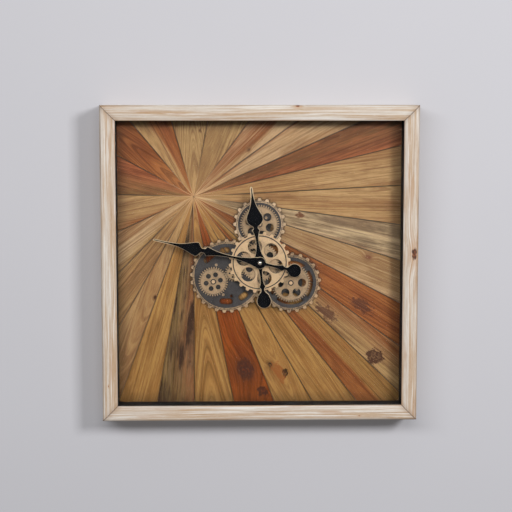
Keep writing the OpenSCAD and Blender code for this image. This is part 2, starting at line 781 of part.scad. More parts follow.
module base_screws() color("silver") at_axis()
    for (p = base_screw_at) at(p) screw(plate_front, base_screw_len, -1);

// Fixed pins of the top gear, the idler and the left gear, and the head that they share
module pin_head(lift) rod(fine_front - pin_recess_d + lift, pin_head_h, pin_head_r);
module gear_pins() color("tan") at_axis() for (p = [top_at, idler_at, left_at]) at(p) {
    rod(plank_front, fine_front - plank_front, pin_r);
    pin_head(pin_head_lift);
}

// Fine-toothed gear about its own centre: a toothed rim and a raised face. Its windows are given
// as [how many, distance from the centre, radius, angle], the lengths as shares of the face radius
module fine_gear(z, phase, bore_r, windows) {
    face_r = z * fine_module / 2 - root_share * fine_module - fine_rim;
    difference() {
        union() {
            slab(fine_back, fine_t - rim_step) gear_outline(z, fine_module, phase);
            rod(fine_back, fine_t, face_r);
        }
        slab(fine_back - over, fine_t + 2 * over)
            ring_of_holes(windows[0], windows[1] * face_r, windows[2] * face_r, windows[3]);
        rod(fine_back - over, fine_t + 2 * over, bore_r);
    }
}
module pin_recess() rod(fine_front - pin_recess_d, pin_recess_d + over, pin_recess_r);

module top_gear() color("rosybrown") at_axis() at(top_at) difference() {
    fine_gear(top_teeth, top_phase, pin_r + running, top_windows);
    pin_recess();
}
module right_gear() color("rosybrown") at_axis() at(right_at) difference() {
    fine_gear(right_teeth, right_phase, pin_r, right_windows);
    pin_recess();
}
module idler_gear() color("rosybrown") at_axis() at(idler_at) difference() {
    fine_gear(idler_teeth, idler_phase, pin_r + running, idler_windows);
    pin_recess();
}
module left_gear() color("rosybrown") at_axis() at(left_at) difference() {
    fine_gear(left_teeth, left_phase, pin_r + running, left_windows);
    pin_recess();
}
module main_fine_gear() color("burlywood") at_axis()
    fine_gear(main_teeth, main_fine_phase, bush_r + running, main_fine_windows);

module main_gear() color("burlywood") at_axis() difference() {
    union() {
        slab(main_back, main_t) coarse_outline(main_coarse, main_tip_r, main_coarse_phase);
        rod(fine_front, deck_gap + touch, main_hub_r);
    }
    slab(main_back - over, main_t + 2 * over)
        ring_of_holes(6, main_hole_at, main_hole_r, main_hole_phase);
    slab(main_front - groove_d, groove_d + over) difference() {
        circle(groove_r + groove_w / 2);
        circle(groove_r - groove_w / 2);
    }
    rod(fine_front - over, deck_gap + main_t + 2 * over, bush_r + running);
}

// Flanged sleeve that the main gear turns on, clamped under the nut
module main_gear_bush() color("goldenrod") at_axis() difference() {
    union() {
        rod(plate_back, plate_t + plate_boss_h, bush_flange_r);
        rod(plate_back, nut_back - plate_back, bush_r);
    }
    rod(plate_back - over, nut_back, bushing_r + running);
}
module bushing_nut() color("goldenrod") at_axis() difference() {
    union() {
        rod(nut_back, nut_flange_t, bush_r + nut_flange_w);
        upright(nut_back) cylinder(h = nut_t, r = nut_r, $fn = 6);
    }
    rod(nut_back - over, nut_t + 2 * over, bushing_r);
}

// Smooth outline through knots of [distance, half width]
function bend(a, b, c, d, t) = 0.5 * (2 * b + (c - a) * t + (2 * a - 5 * b + 4 * c - d) * t * t
    + (3 * b - a - 3 * c + d) * t * t * t);
function smooth(knots) = let (n = len(knots) - 1)
    concat([for (i = [0:n - 1]) for (k = [0:knot_steps - 1])
        bend(knots[max(i - 1, 0)], knots[i], knots[i + 1], knots[min(i + 2, n)], k / knot_steps)],
        [knots[n]]);
module blade(knots, stretch) {
    edge = smooth([for (k = knots) [k[0] * stretch, k[1]]]);
    last = len(edge) - 1;
    polygon(concat([for (p = edge) [p[0], -p[1]]], [for (i = [last:-1:0]) edge[i]]));
}
module hand_outline(knots, tail_knots, reach, tail, hub_r, disc_r) {
    blade(knots, reach / knots[len(knots) - 1][0]);
    rotate(180) {
        blade(tail_knots, (tail - disc_r) / tail_knots[len(tail_knots) - 1][0]);
        translate([tail - disc_r, 0]) circle(disc_r);
    }
    circle(hub_r);
}

minute_turn = 90 - 6 * shown_minute;
hour_turn = 90 - 30 * (shown_hour + shown_minute / 60);
module hour_hand() color("black") at_axis() difference() {
    union() {
        slab(hour_back, hand_t) rotate(hour_turn)
            hand_outline(hour_knots, hour_tail_knots, hour_len, hour_tail, hour_hub_r, hour_disc_r);
        rod(hour_back - collet_h, collet_h + touch, hour_tube_r + collet_w);
    }
    rod(hour_back - 2 * collet_h, hand_t + 3 * collet_h, hour_tube_r);
}
module minute_hand() color("black") at_axis() difference() {
    union() {
        slab(minute_back, hand_t) rotate(minute_turn)
            hand_outline(minute_knots, minute_tail_knots, minute_len, minute_tail, minute_hub_r,
                minute_disc_r);
        rod(minute_back - hand_gap / 2, hand_gap / 2 + touch, minute_arbor_r + collet_w);
    }
    rod(minute_back - hand_gap, hand_t + 2 * hand_gap, minute_arbor_r);
}
module hand_nut() color("silver") at_axis() difference() {
    dome_r = cap_h + dome_extra;
    intersection() {
        rod(cap_back, cap_h + over, cap_r);
        translate([0, dome_r - cap_back - cap_h, 0]) sphere(dome_r);
    }
    rod(cap_back - over, cap_h / 2 + over, minute_arbor_r);
}

// Clock movement
module case_shell(w, h, back, front) difference() {
    slab(back, front - back) rounded(w, h, case_corner_r);
    slab(back - over, front - back - case_wall + over)
        rounded(w - 2 * case_wall, h - 2 * case_wall, case_corner_r - case_wall);
}
module movement_case() color("dimgray") at_axis() {
    inside = case_back + case_wall;
    difference() {
        case_shell(movement_w, movement_w, inside, case_front);
        rod(case_inner - over, case_wall + 2 * over, flange_r);
    }
    at(minute_wheel_at) rod(motion_back - layer_gap, case_inner - motion_back + layer_gap + touch,
        post_r);
    at(knob_at) difference() {
        rod(motion_front + layer_gap, case_inner - motion_front - layer_gap + touch, knob_boss_r);
        rod(motion_front, case_inner - motion_front - layer_gap, knob_tip_r + running);
    }
    translate([-case_inner_half - touch, -case_inner - touch, bay_wall_z])
        cube([2 * (case_inner_half + touch), case_inner - inside + touch, bay_wall_t]);
}
module movement_cover() color("dimgray") at_axis() difference() {
    union() {
        slab(case_back, case_wall) rounded(movement_w, movement_w, case_corner_r);
        rod(case_back, case_wall + arbor_boss_h, 2 * minute_arbor_r);
        for (s = [-1, 1]) at(board_at) translate([s * board_size[0] / 4, 0, 0])
            slab(case_back, case_wall + board_rib_h)
                square([board_rib_w, board_size[1] / 2], center = true);
    }
    at(cell_at) slab(case_back - over, case_wall + 2 * over)
        square([2 * case_inner_half, 2 * (cell_r + cell_gap)], center = true);
    rod(arbor_back - touch, arbor_boss_h + over, minute_arbor_r + running);
    at(knob_at) rod(case_back - over, case_wall + 2 * over, knob_shaft_r + running);
}
module threaded_bushing() color("goldenrod") at_axis() difference() {
    union() {
        rod(case_inner, case_wall, flange_r);
        rod(case_inner, nut_back + nut_t - case_inner, bushing_r);
    }
    rod(case_inner - over, nut_back + nut_t - case_inner + 2 * over, hour_tube_r + running);
}
module rubber_washer() color("black") at_axis() difference() {
    rod(case_front, washer_t, washer_r);
    rod(case_front - over, washer_t + 2 * over, bushing_r);
}
module hour_wheel() color("ivory") at_axis() difference() {
    union() {
        slab(hour_wheel_back, hour_wheel_t)
            gear_outline(hour_wheel_teeth, hour_module, hour_wheel_phase, wheel_addendum);
        rod(hour_wheel_back, hour_back + hand_t - hour_wheel_back, hour_tube_r);
    }
    rod(hour_wheel_back - over, hour_back + hand_t - hour_wheel_back + 2 * over,
        minute_arbor_r + running);
}
module minute_arbor() color("goldenrod") at_axis() {
    slab(motion_back, wheel_t) gear_outline(cannon_teeth, motion_module, cannon_phase);
    rod(arbor_back, cap_back + cap_h / 2 - arbor_back, minute_arbor_r);
}
module minute_wheel() color("ivory") at_axis() at(minute_wheel_at) difference() {
    union() {
        slab(motion_back, wheel_t) gear_outline(minute_wheel_teeth, motion_module,
            minute_wheel_phase, wheel_addendum);
        slab(motion_back, hour_wheel_front - motion_back)
            gear_outline(minute_pinion_teeth, hour_module, minute_pinion_phase);
    }
    rod(motion_back - over, hour_wheel_front - motion_back + 2 * over, post_r + running);
}
module setting_knob() color("ivory") at_axis() at(knob_at) {
    knob_front = case_back - knob_gap;
    difference() {
        rod(knob_front - knob_t, knob_t, knob_r);
        for (i = [0:knob_notches - 1]) rotate([0, 360 * i / knob_notches, 0])
            at([knob_r + knob_notch_out, 0])
                rod(knob_front - knob_t - over, knob_t + 2 * over, knob_notch_r);
    }
    rod(knob_front - touch, motion_front - knob_front + touch, knob_shaft_r);
    slab(motion_back, wheel_t) gear_outline(knob_teeth, motion_module, knob_phase);
    rod(motion_front - touch, 2 * layer_gap + knob_tip_h, knob_tip_r);
}

// Dry cell lying along X in a case of the inner half width half, with its middle at the height f
module cell(f, half) translate([contact_room - half, -f, 0]) rotate([0, 90, 0]) {
    length = 2 * (half - contact_room);
    cylinder(h = length - cell_nub_h, r = cell_r);
    cylinder(h = length, r = cell_nub_r);
}
// Spring strips between the ends of that cell and the walls of its case
module cell_contacts(f, half) for (s = [-1, 1]) {
    bump = contact_room - contact_t;
    translate([s * (half - contact_t / 2), -f, 0])
        cube([contact_t, contact_w, contact_w], center = true);
    translate([s * (half - contact_t - (bump - touch) / 2), -f, 0])
        cube([bump + touch, contact_w / 3, contact_w / 3], center = true);
}
module movement_cell() color("orange") at_axis() at(cell_at)
    cell(cell_f, case_inner_half);
module movement_contacts() color("silver") at_axis() at(cell_at)
    cell_contacts(cell_f, case_inner_half);
module circuit_board() color("green") at_axis() at(board_at)
    slab(case_back + case_wall + board_rib_h, board_thick) square(board_size, center = true);
module movement_coil() color("chocolate") at_axis() at(board_at) {
    rest = case_back + case_wall + board_rib_h + board_thick;
    translate([-coil_len / 2, -rest - coil_r, 0]) rotate([0, 90, 0]) {
        cylinder(h = coil_len, r = coil_r - coil_flange_h);
        for (x = [0, coil_len - coil_flange_t]) translate([0, 0, x])
            cylinder(h = coil_flange_t, r = coil_r);
    }
}

// Gear drive
module drive_case() color("black") at_axis() {
    inside = drive_back + case_wall;
    difference() {
        at(drive_mid) {
            case_shell(drive_w, drive_h, inside, drive_front);
            slab(drive_front - ear_t, ear_t) difference() {
                rounded(drive_w + 2 * ear_w, ear_h, case_corner_r);
                square([drive_w - case_wall, ear_h], center = true);
            }
        }
        for (p = drive_screw_at) at(p) screw_space(drive_front - ear_t, drive_screw_len, 1);
        at(right_at) rod(drive_inner - over, case_wall + 2 * over, pin_r + running);
    }
    at(drive_wheel_at) rod(reduction_back - layer_gap,
        drive_inner - reduction_back + layer_gap + touch, post_r);
    translate([drive_mid[0] - drive_inner_half - touch, -drive_inner - touch, drive_bay_z])
        cube([2 * (drive_inner_half + touch), drive_inner - inside + touch, bay_wall_t]);
}
module drive_cover() color("black") at_axis() difference() {
    union() {
        at(drive_mid) slab(drive_back, case_wall) rounded(drive_w, drive_h, case_corner_r);
        at(right_at) rod(drive_back, case_wall + shaft_boss_h, 2 * pin_r);
    }
    at(drive_cell_at) slab(drive_back - over, case_wall + 2 * over)
        square([2 * drive_inner_half, 2 * (cell_r + cell_gap)], center = true);
    at(right_at) rod(shaft_back - touch, shaft_boss_h + over, pin_r + running);
}
module drive_motor() color("silver") at_axis() at(motor_at) difference() {
    rod(drive_back + case_wall, motor_h, motor_r);
    rod(drive_back + case_wall + motor_socket, motor_h, motor_shaft_r + running);
}
module motor_pinion() color("goldenrod") at_axis() at(motor_at) {
    slab(reduction_back, wheel_t) gear_outline(drive_pinion_teeth, drive_module, motor_phase);
    rod(motor_shaft_back, reduction_front - motor_shaft_back, motor_shaft_r);
}
module drive_wheel() color("ivory") at_axis() at(drive_wheel_at) difference() {
    union() {
        slab(reduction_back, wheel_t) gear_outline(drive_wheel_teeth, drive_module,
            drive_wheel_phase, wheel_addendum);
        slab(reduction_back, output_front - reduction_back)
            gear_outline(drive_pinion_teeth, drive_module, drive_pinion_phase);
    }
    rod(reduction_back - over, output_front - reduction_back + 2 * over, post_r + running);
}
module drive_shaft() color("silver") at_axis() at(right_at) {
    slab(output_back, wheel_t) gear_outline(output_teeth, drive_module, output_phase,
        wheel_addendum);
    rod(shaft_back, fine_front - shaft_back, pin_r);
    pin_head(0);
}
module drive_cell() color("orange") at_axis() at(drive_cell_at)
    cell(drive_cell_f, drive_inner_half);
module drive_contacts() color("silver") at_axis() at(drive_cell_at)
    cell_contacts(drive_cell_f, drive_inner_half);
module drive_screws() color("silver") at_axis()
    for (p = drive_screw_at) at(p) screw(drive_front - ear_t, drive_screw_len, 1);

frame_rail_top();
frame_rail_right();
frame_rail_bottom();
frame_rail_left();
glass_pane();
liner_top();
liner_bottom();
liner_left();
liner_right();
backing_board();
backing_points();
planks_honey();
planks_tan();
planks_russet();
planks_brown();
planks_weathered();
hanger_plate();
hanger_screws();
corner_braces();
brace_screws();
wall_bumpers();
gear_carrier();
left_base_plate();
right_base_ring();
top_base_ring();
base_screws();
gear_pins();
main_gear();
main_fine_gear();
main_gear_bush();
bushing_nut();
top_gear();
right_gear();
idler_gear();
left_gear();
hour_hand();
minute_hand();
hand_nut();
movement_case();
movement_cover();
threaded_bushing();
rubber_washer();
hour_wheel();
minute_arbor();
minute_wheel();
setting_knob();
movement_cell();
movement_contacts();
movement_coil();
circuit_board();
drive_case();
drive_cover();
drive_motor();
motor_pinion();
drive_wheel();
drive_shaft();
drive_cell();
drive_contacts();
drive_screws();
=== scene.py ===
import math

import bmesh
import bpy
import numpy as np
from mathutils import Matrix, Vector
from mathutils.geometry import delaunay_2d_cdt


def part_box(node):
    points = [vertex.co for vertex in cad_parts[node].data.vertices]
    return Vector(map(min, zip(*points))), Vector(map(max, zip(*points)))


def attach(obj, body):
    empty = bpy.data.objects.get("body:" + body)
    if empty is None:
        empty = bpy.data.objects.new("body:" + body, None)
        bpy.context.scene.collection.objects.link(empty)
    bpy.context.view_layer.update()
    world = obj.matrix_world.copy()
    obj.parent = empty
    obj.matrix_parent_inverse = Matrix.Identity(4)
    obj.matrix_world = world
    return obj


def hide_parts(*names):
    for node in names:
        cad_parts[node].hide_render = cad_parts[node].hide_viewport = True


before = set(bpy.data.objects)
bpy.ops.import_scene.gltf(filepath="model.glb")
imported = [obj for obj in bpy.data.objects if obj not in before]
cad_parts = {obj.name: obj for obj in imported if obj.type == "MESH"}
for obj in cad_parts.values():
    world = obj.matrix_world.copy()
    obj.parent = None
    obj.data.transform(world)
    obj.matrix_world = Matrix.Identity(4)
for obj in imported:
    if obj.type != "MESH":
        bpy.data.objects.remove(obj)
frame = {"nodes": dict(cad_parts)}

bl_info = {
    "name": "Wooden Gear Clock",
    "version": (1, 0, 0),
    "blender": (4, 5, 0),
    "location": "View3D > Sidebar > Gear Clock",
    "description": "Dresses a square shadow-box gear clock with timber, patina and lacquer",
    "category": "Object",
}

MM = 0.001
NODES = frame["nodes"]
FRAME_BODY = "clock_case"

# Places on the face of the clock, in millimetres: x to the right and z up, as the clock hangs
FRAME_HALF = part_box("frame_rail_left")[0].x / -MM
FRAME_MIDDLE_Z = (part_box("frame_rail_top")[1].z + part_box("frame_rail_bottom")[0].z) / 2 / MM


def middle_of(node):
    """The middle of a round CAD node, seen from the front, as (x, z) in millimetres."""
    low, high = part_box(node)
    return (low.x + high.x) / 2 / MM, (low.z + high.z) / 2 / MM


def front_of(node):
    """How far the foremost face of a CAD node stands in front of the wall, in millimetres."""
    return -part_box(node)[0].y / MM


RAIL_WIDTH = (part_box("frame_rail_left")[1].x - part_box("frame_rail_left")[0].x) / MM
RAIL_FRONT = front_of("frame_rail_left")
OPENING_HALF = FRAME_HALF - RAIL_WIDTH


def paint(red, green, blue):
    """A colour as it is seen, in 0 to 255, turned into the linear colour that shaders use."""
    def linear(value):
        share = value / 255
        return share / 12.92 if share <= 0.04045 else ((share + 0.055) / 1.055) ** 2.4
    return (linear(red), linear(green), linear(blue), 1.0)


# Settings that a user would change

def colour_setting(name, says, colour):
    return bpy.props.FloatVectorProperty(name=name, description=says, default=colour[:3], size=3,
                                         min=0, max=1, subtype="COLOR")


def width_setting(name, says, width):
    return bpy.props.FloatProperty(name=name, description=says, default=width, min=0,
                                   unit="LENGTH", subtype="DISTANCE")


def power_setting(name, says, power):
    return bpy.props.FloatProperty(name=name, description=says, default=power, min=0, unit="POWER")


class SunburstSettings(bpy.types.PropertyGroup):
    centre_x: bpy.props.FloatProperty(
        name="Centre sideways", description="Sideways place of the sunburst's centre",
        default=-125.5 * MM, unit="LENGTH", subtype="DISTANCE")
    centre_z: bpy.props.FloatProperty(
        name="Centre height", description="Height of the sunburst's centre, from the nail",
        default=(FRAME_MIDDLE_Z + 127) * MM, unit="LENGTH", subtype="DISTANCE")
    eased_edge: width_setting("Eased edge", "Width of the rounded edge of each plank", 0.25 * MM)
    seam_dirt: bpy.props.FloatProperty(
        name="Seam shade", description="How dark the seams between the planks have grown",
        default=0.8, min=0, max=1, subtype="FACTOR")


class FrameSettings(bpy.types.PropertyGroup):
    bare_wood: colour_setting(
        "Bare wood", "Colour of the wood where the lime wash is thin", paint(204, 176, 147))
    lime_wash: colour_setting(
        "Lime wash", "Colour of the lime wash in the grain", paint(224, 214, 202))
    worn_edge: colour_setting("Worn edge", "Colour of the rubbed outer edges", paint(150, 112, 80))
    eased_edge: width_setting("Eased edge", "Width of the rounded edges of the rails", 0.5 * MM)


class MetalSettings(bpy.types.PropertyGroup):
    pale_bronze: colour_setting("Pale bronze", "Rubbed face of the main gear", paint(184, 155, 119))
    bronze: colour_setting("Bronze", "Rubbed faces of the other gears", paint(176, 147, 112))
    gunmetal: colour_setting("Gunmetal", "Flat faces of the dark base plates", paint(44, 41, 41))
    grime: colour_setting(
        "Grime", "Dark patina in the recesses and on the walls of the gears", paint(44, 36, 30))
    eased_edge: width_setting("Eased edge", "Width of the rounded edges of the gears", 0.3 * MM)


class HandSettings(bpy.types.PropertyGroup):
    lacquer: colour_setting("Lacquer", "Colour of the hands' faces", paint(7, 8, 11))
    rim: colour_setting("Pale rim", "Colour of the hands' bevelled rims", paint(190, 172, 144))
    hour_rim_width: width_setting("Hour hand's rim", "Width of the hour hand's bevel", 0.8 * MM)
    minute_rim_width: width_setting(
        "Minute hand's rim", "Width of the minute hand's bevel", 0.6 * MM)


class StageSettings(bpy.types.PropertyGroup):
    distance: bpy.props.FloatProperty(
        name="Distance", description="Distance of the camera from the clock",
        default=2.711, unit="LENGTH", subtype="DISTANCE")
    turn: bpy.props.FloatProperty(
        name="Turn", description="How far the camera stands to the side",
        default=math.radians(-1.41), unit="ROTATION", subtype="ANGLE")
    lift: bpy.props.FloatProperty(
        name="Lift", description="How far the camera looks down",
        default=math.radians(6.39), unit="ROTATION", subtype="ANGLE")
    lens: bpy.props.FloatProperty(
        name="Lens", description="Focal length of the camera, in millimetres",
        default=99.77, min=10)
    wall: colour_setting("Wall", "Colour of the wall and the floor", paint(211, 210, 215))
    key_power: power_setting("Key lamp", "Power of the lamp at the upper right", 62)
    fill_power: power_setting(
        "Fill lamp", "Power of the wide lamp in front of the clock and above it", 47)
    back_power: power_setting(
        "Back lamp", "Power of the lamp behind the wall, for views of the back", 52)
    sky: bpy.props.FloatProperty(
        name="Room light", description="Strength of the even light of the room",
        default=0.21, min=0, max=1, subtype="FACTOR")


class GearClockSettings(bpy.types.PropertyGroup):
    sunburst: bpy.props.PointerProperty(type=SunburstSettings)
    frame: bpy.props.PointerProperty(type=FrameSettings)
    metal: bpy.props.PointerProperty(type=MetalSettings)
    hands: bpy.props.PointerProperty(type=HandSettings)
    stage: bpy.props.PointerProperty(type=StageSettings)


# Building shaders

class Value:
    """A number, vector or colour that a node gives. Sums and products of values are nodes too."""

    def __init__(self, shader, socket):
        self.shader, self.socket = shader, socket

    def __add__(self, other):
        return self.shader.maths("ADD", self, other)

    def __sub__(self, other):
        return self.shader.maths("SUBTRACT", self, other)

    def __rsub__(self, other):
        return self.shader.maths("SUBTRACT", other, self)

    def __mul__(self, other):
        return self.shader.maths("MULTIPLY", self, other)

    def __truediv__(self, other):
        return self.shader.maths("DIVIDE", self, other)


class Shader:
    """Adds nodes to the tree of a material or of a node group, and links them."""

    def __init__(self, tree):
        self.tree = tree

    def feed(self, socket, source):
        """Links a value to an input, or writes a plain number or colour there."""
        if isinstance(source, Value):
            self.tree.links.new(source.socket, socket)
        else:
            socket.default_value = source

    def node(self, kind, inputs=(), **settings):
        """One node with its settings; inputs are values or plain numbers, by place or by name."""
        made = self.tree.nodes.new(kind)
        for name, setting in settings.items():
            setattr(made, name, setting)
        for key, source in dict(inputs).items():
            self.feed(made.inputs[key], source)
        return made

    def out(self, kind, inputs=(), output=0, **settings):
        """One output of a new node."""
        return Value(self, self.node(kind, inputs, **settings).outputs[output])

    def outputs(self, made):
        """Every output of a node, by its name."""
        return {socket.name: Value(self, socket) for socket in made.outputs}

    def group(self, tree, inputs):
        """A node group placed with its own values."""
        return self.outputs(self.node("ShaderNodeGroup", inputs, node_tree=tree))

    def main(self, name):
        """What a node that the tree already has puts out."""
        return Value(self, self.tree.nodes[name].outputs[0])

    def maths(self, operation, *values, clamp=False):
        return self.out("ShaderNodeMath", enumerate(values), operation=operation, use_clamp=clamp)

    def larger(self, a, b):
        return self.maths("MAXIMUM", a, b)

    def smaller(self, a, b):
        return self.maths("MINIMUM", a, b)

    def unsigned(self, a):
        """A number without its sign."""
        return self.maths("ABSOLUTE", a)

    def parts(self, vector):
        """The x, y and z of a vector."""
        made = self.node("ShaderNodeSeparateXYZ", {0: vector})
        return [Value(self, socket) for socket in made.outputs]

    def point(self, x, y, z):
        return self.out("ShaderNodeCombineXYZ", {0: x, 1: y, 2: z})

    def scaled(self, vector, *sizes):
        """A vector times a size for each of its parts, or times one size for all three."""
        sizes = sizes * 3 if len(sizes) == 1 else sizes
        return self.out("ShaderNodeVectorMath", {0: vector, 1: sizes}, operation="MULTIPLY")

    def moved(self, vector, by):
        return self.out("ShaderNodeVectorMath", {0: vector, 1: by}, operation="ADD")

    def length(self, vector):
        return self.out("ShaderNodeVectorMath", {0: vector}, "Value", operation="LENGTH")

    def step(self, value, low, high, start=0.0, end=1.0):
        """Runs smoothly from start to end while value runs from low to high."""
        return self.out("ShaderNodeMapRange", {0: value, 1: low, 2: high, 3: start, 4: end},
                        interpolation_type="SMOOTHSTEP")

    def noise(self, vector, detail=2.0, roughness=0.5):
        """Soft noise from 0 to 1, with features about one unit across."""
        return self.out("ShaderNodeTexNoise", {
            "Vector": vector, "Scale": 1.0, "Detail": detail, "Roughness": roughness})

    def mix(self, share, first, second):
        """A colour or number that runs from first to second with share."""
        return self.out("ShaderNodeMix", {0: share, 6: first, 7: second}, 2, data_type="RGBA",
                        clamp_factor=True)

    def layer(self, tone, pattern, low, high, most, colour):
        """Lays a colour over a tone, up to this share, while a pattern runs from low to high."""
        return self.mix(self.step(pattern, low, high, 0.0, most), tone, colour)

    def attribute(self, name, output):
        return self.out("ShaderNodeAttribute", output=output, attribute_name=name)

    def place(self):
        """The place of a point on the clock, in millimetres."""
        spot = self.out("ShaderNodeTexCoord", output="Object")
        return self.scaled(spot, 1 / MM)

    def bump(self, height, strength, depth):
        """A normal from a height, for relief of about this depth in millimetres."""
        return self.out("ShaderNodeBump", {
            "Height": height, "Strength": strength, "Distance": depth * MM})

    def shelter(self, reach, inside=False):
        """How open a point lies, from 0 in a recess to 1; inside, 0 is close to an outer edge."""
        return self.out("ShaderNodeAmbientOcclusion", {"Distance": reach * MM}, "AO", samples=8,
                        inside=inside, only_local=inside)

    def facing(self, low=0.35, high=0.9):
        """1 where a surface faces the front, and 0 on the walls and the back."""
        _, y, _ = self.parts(self.out("ShaderNodeNewGeometry", output="Normal"))
        return self.step(y * -1.0, low, high)

    def height(self):
        """Height in front of the wall, in millimetres."""
        return self.parts(self.place())[1] * -1.0

    def radius_about(self, centre):
        """Distance from an axis that runs from front to back, in millimetres."""
        x, _, z = self.parts(self.place())
        return self.length(self.point(x - centre[0], 0.0, z - centre[1]))

    def band(self, value, low, high, soft):
        """1 between low and high, and 0 outside them."""
        return self.step(value, low - soft, low + soft) * self.step(value, high + soft, high - soft)


def shader_group(name, inputs, outputs, build):
    """A node group with named sockets, built once. Inputs and outputs are (name, kind, default)."""
    tree = bpy.data.node_groups.get(name)
    if tree:
        return tree
    tree = bpy.data.node_groups.new(name, "ShaderNodeTree")
    kinds = {"value": "NodeSocketFloat", "colour": "NodeSocketColor", "vector": "NodeSocketVector"}
    for way, sockets in (("INPUT", inputs), ("OUTPUT", outputs)):
        for label, kind, *default in sockets:
            made = tree.interface.new_socket(name=label, in_out=way, socket_type=kinds[kind])
            if default:
                made.default_value = default[0]
    shader = Shader(tree)
    results = build(shader, shader.outputs(shader.node("NodeGroupInput")))
    shader.node("NodeGroupOutput", results)
    return tree


def new_material(name, build, **plain):
    """A material with one Principled shader; plain values are set on the shader's own sockets."""
    made = bpy.data.materials.new(name)
    made.use_nodes = True
    shader = Shader(made.node_tree)
    body = shader.tree.nodes["Principled BSDF"]
    for key, value in plain.items():
        body.inputs[key.replace("_", " ")].default_value = value
    for key, value in build(shader).items():
        shader.feed(body.inputs[key], value)
    return made


def end_with(shader, end, share, first, second):
    """Ends a tree with a mix of two shaders."""
    both = shader.out("ShaderNodeMixShader", {0: share, 1: first, 2: second})
    shader.feed(shader.tree.nodes[end].inputs[0], both)


def fade(colour, share, to=(0.0, 0.0, 0.0)):
    """A colour moved part of the way to another."""
    return tuple(a + (b - a) * share for a, b in zip(colour[:3], to)) + (1.0,)


# Timber

# Each timber: light, middle and dark colour of its grain
TIMBER = {
    "honey": (paint(156, 126, 86), paint(136, 103, 65), paint(93, 59, 32)),
    "straw": (paint(163, 136, 102), paint(142, 109, 74), paint(96, 64, 37)),
    "tan": (paint(153, 124, 83), paint(129, 100, 64), paint(83, 54, 30)),
    "russet": (paint(134, 83, 42), paint(114, 64, 31), paint(69, 31, 13)),
    "redwood": (paint(129, 67, 23), paint(108, 47, 12), paint(62, 24, 6)),
    "chestnut": (paint(142, 84, 50), paint(115, 63, 37), paint(64, 32, 19)),
    "amber": (paint(151, 115, 64), paint(128, 90, 45), paint(84, 52, 22)),
    "driftwood": (paint(167, 144, 110), paint(138, 111, 82), paint(74, 55, 41)),
    "olive": (paint(135, 106, 57), paint(114, 83, 40), paint(69, 44, 20)),
    "umber": (paint(114, 91, 53), paint(82, 61, 34), paint(33, 22, 12)),
}

WOOD_INPUTS = (
    ("Grain", "vector"), ("Seams", "vector"), ("Piece", "value", 0.0),
    ("Light", "colour", TIMBER["honey"][0]), ("Middle", "colour", TIMBER["honey"][1]),
    ("Dark", "colour", TIMBER["honey"][2]),
    ("Ring Width", "value", 5.0), ("Ring Strength", "value", 0.3), ("Pith Across", "value", 0.0),
    ("Pith Depth", "value", 30.0), ("Taper", "value", 0.0), ("Wander", "value", 4.0),
    ("Split At", "value", 2.0), ("Split Softness", "value", 0.08),
    ("Split Colour", "colour", TIMBER["russet"][1]),
    ("Knot Along", "value", 0.0), ("Knot Across", "value", 0.0), ("Knot Size", "value", 0.0),
    ("Knot Colour", "colour", paint(62, 36, 24)),
    ("Second Along", "value", 0.0), ("Second Across", "value", 0.0), ("Second Size", "value", 0.0),
    ("Stain Along", "value", 0.0), ("Stain Across", "value", 0.0), ("Stain Size", "value", 0.0),
    ("Stain Colour", "colour", paint(68, 38, 29)),
    ("Weather", "value", 0.0), ("Seam Shade", "value", 0.6),
)
WOOD_OUTPUTS = (("Color", "colour"), ("Roughness", "value"), ("Height", "value"))

# How far the grain is moved from piece to piece, along, across and into it, so that no two match
PLANK_SHIFT = (517.0, 131.0, 29.0)
# The most that the rings swell round a knot, however large it is, in millimetres
RING_SWELL = 7.0


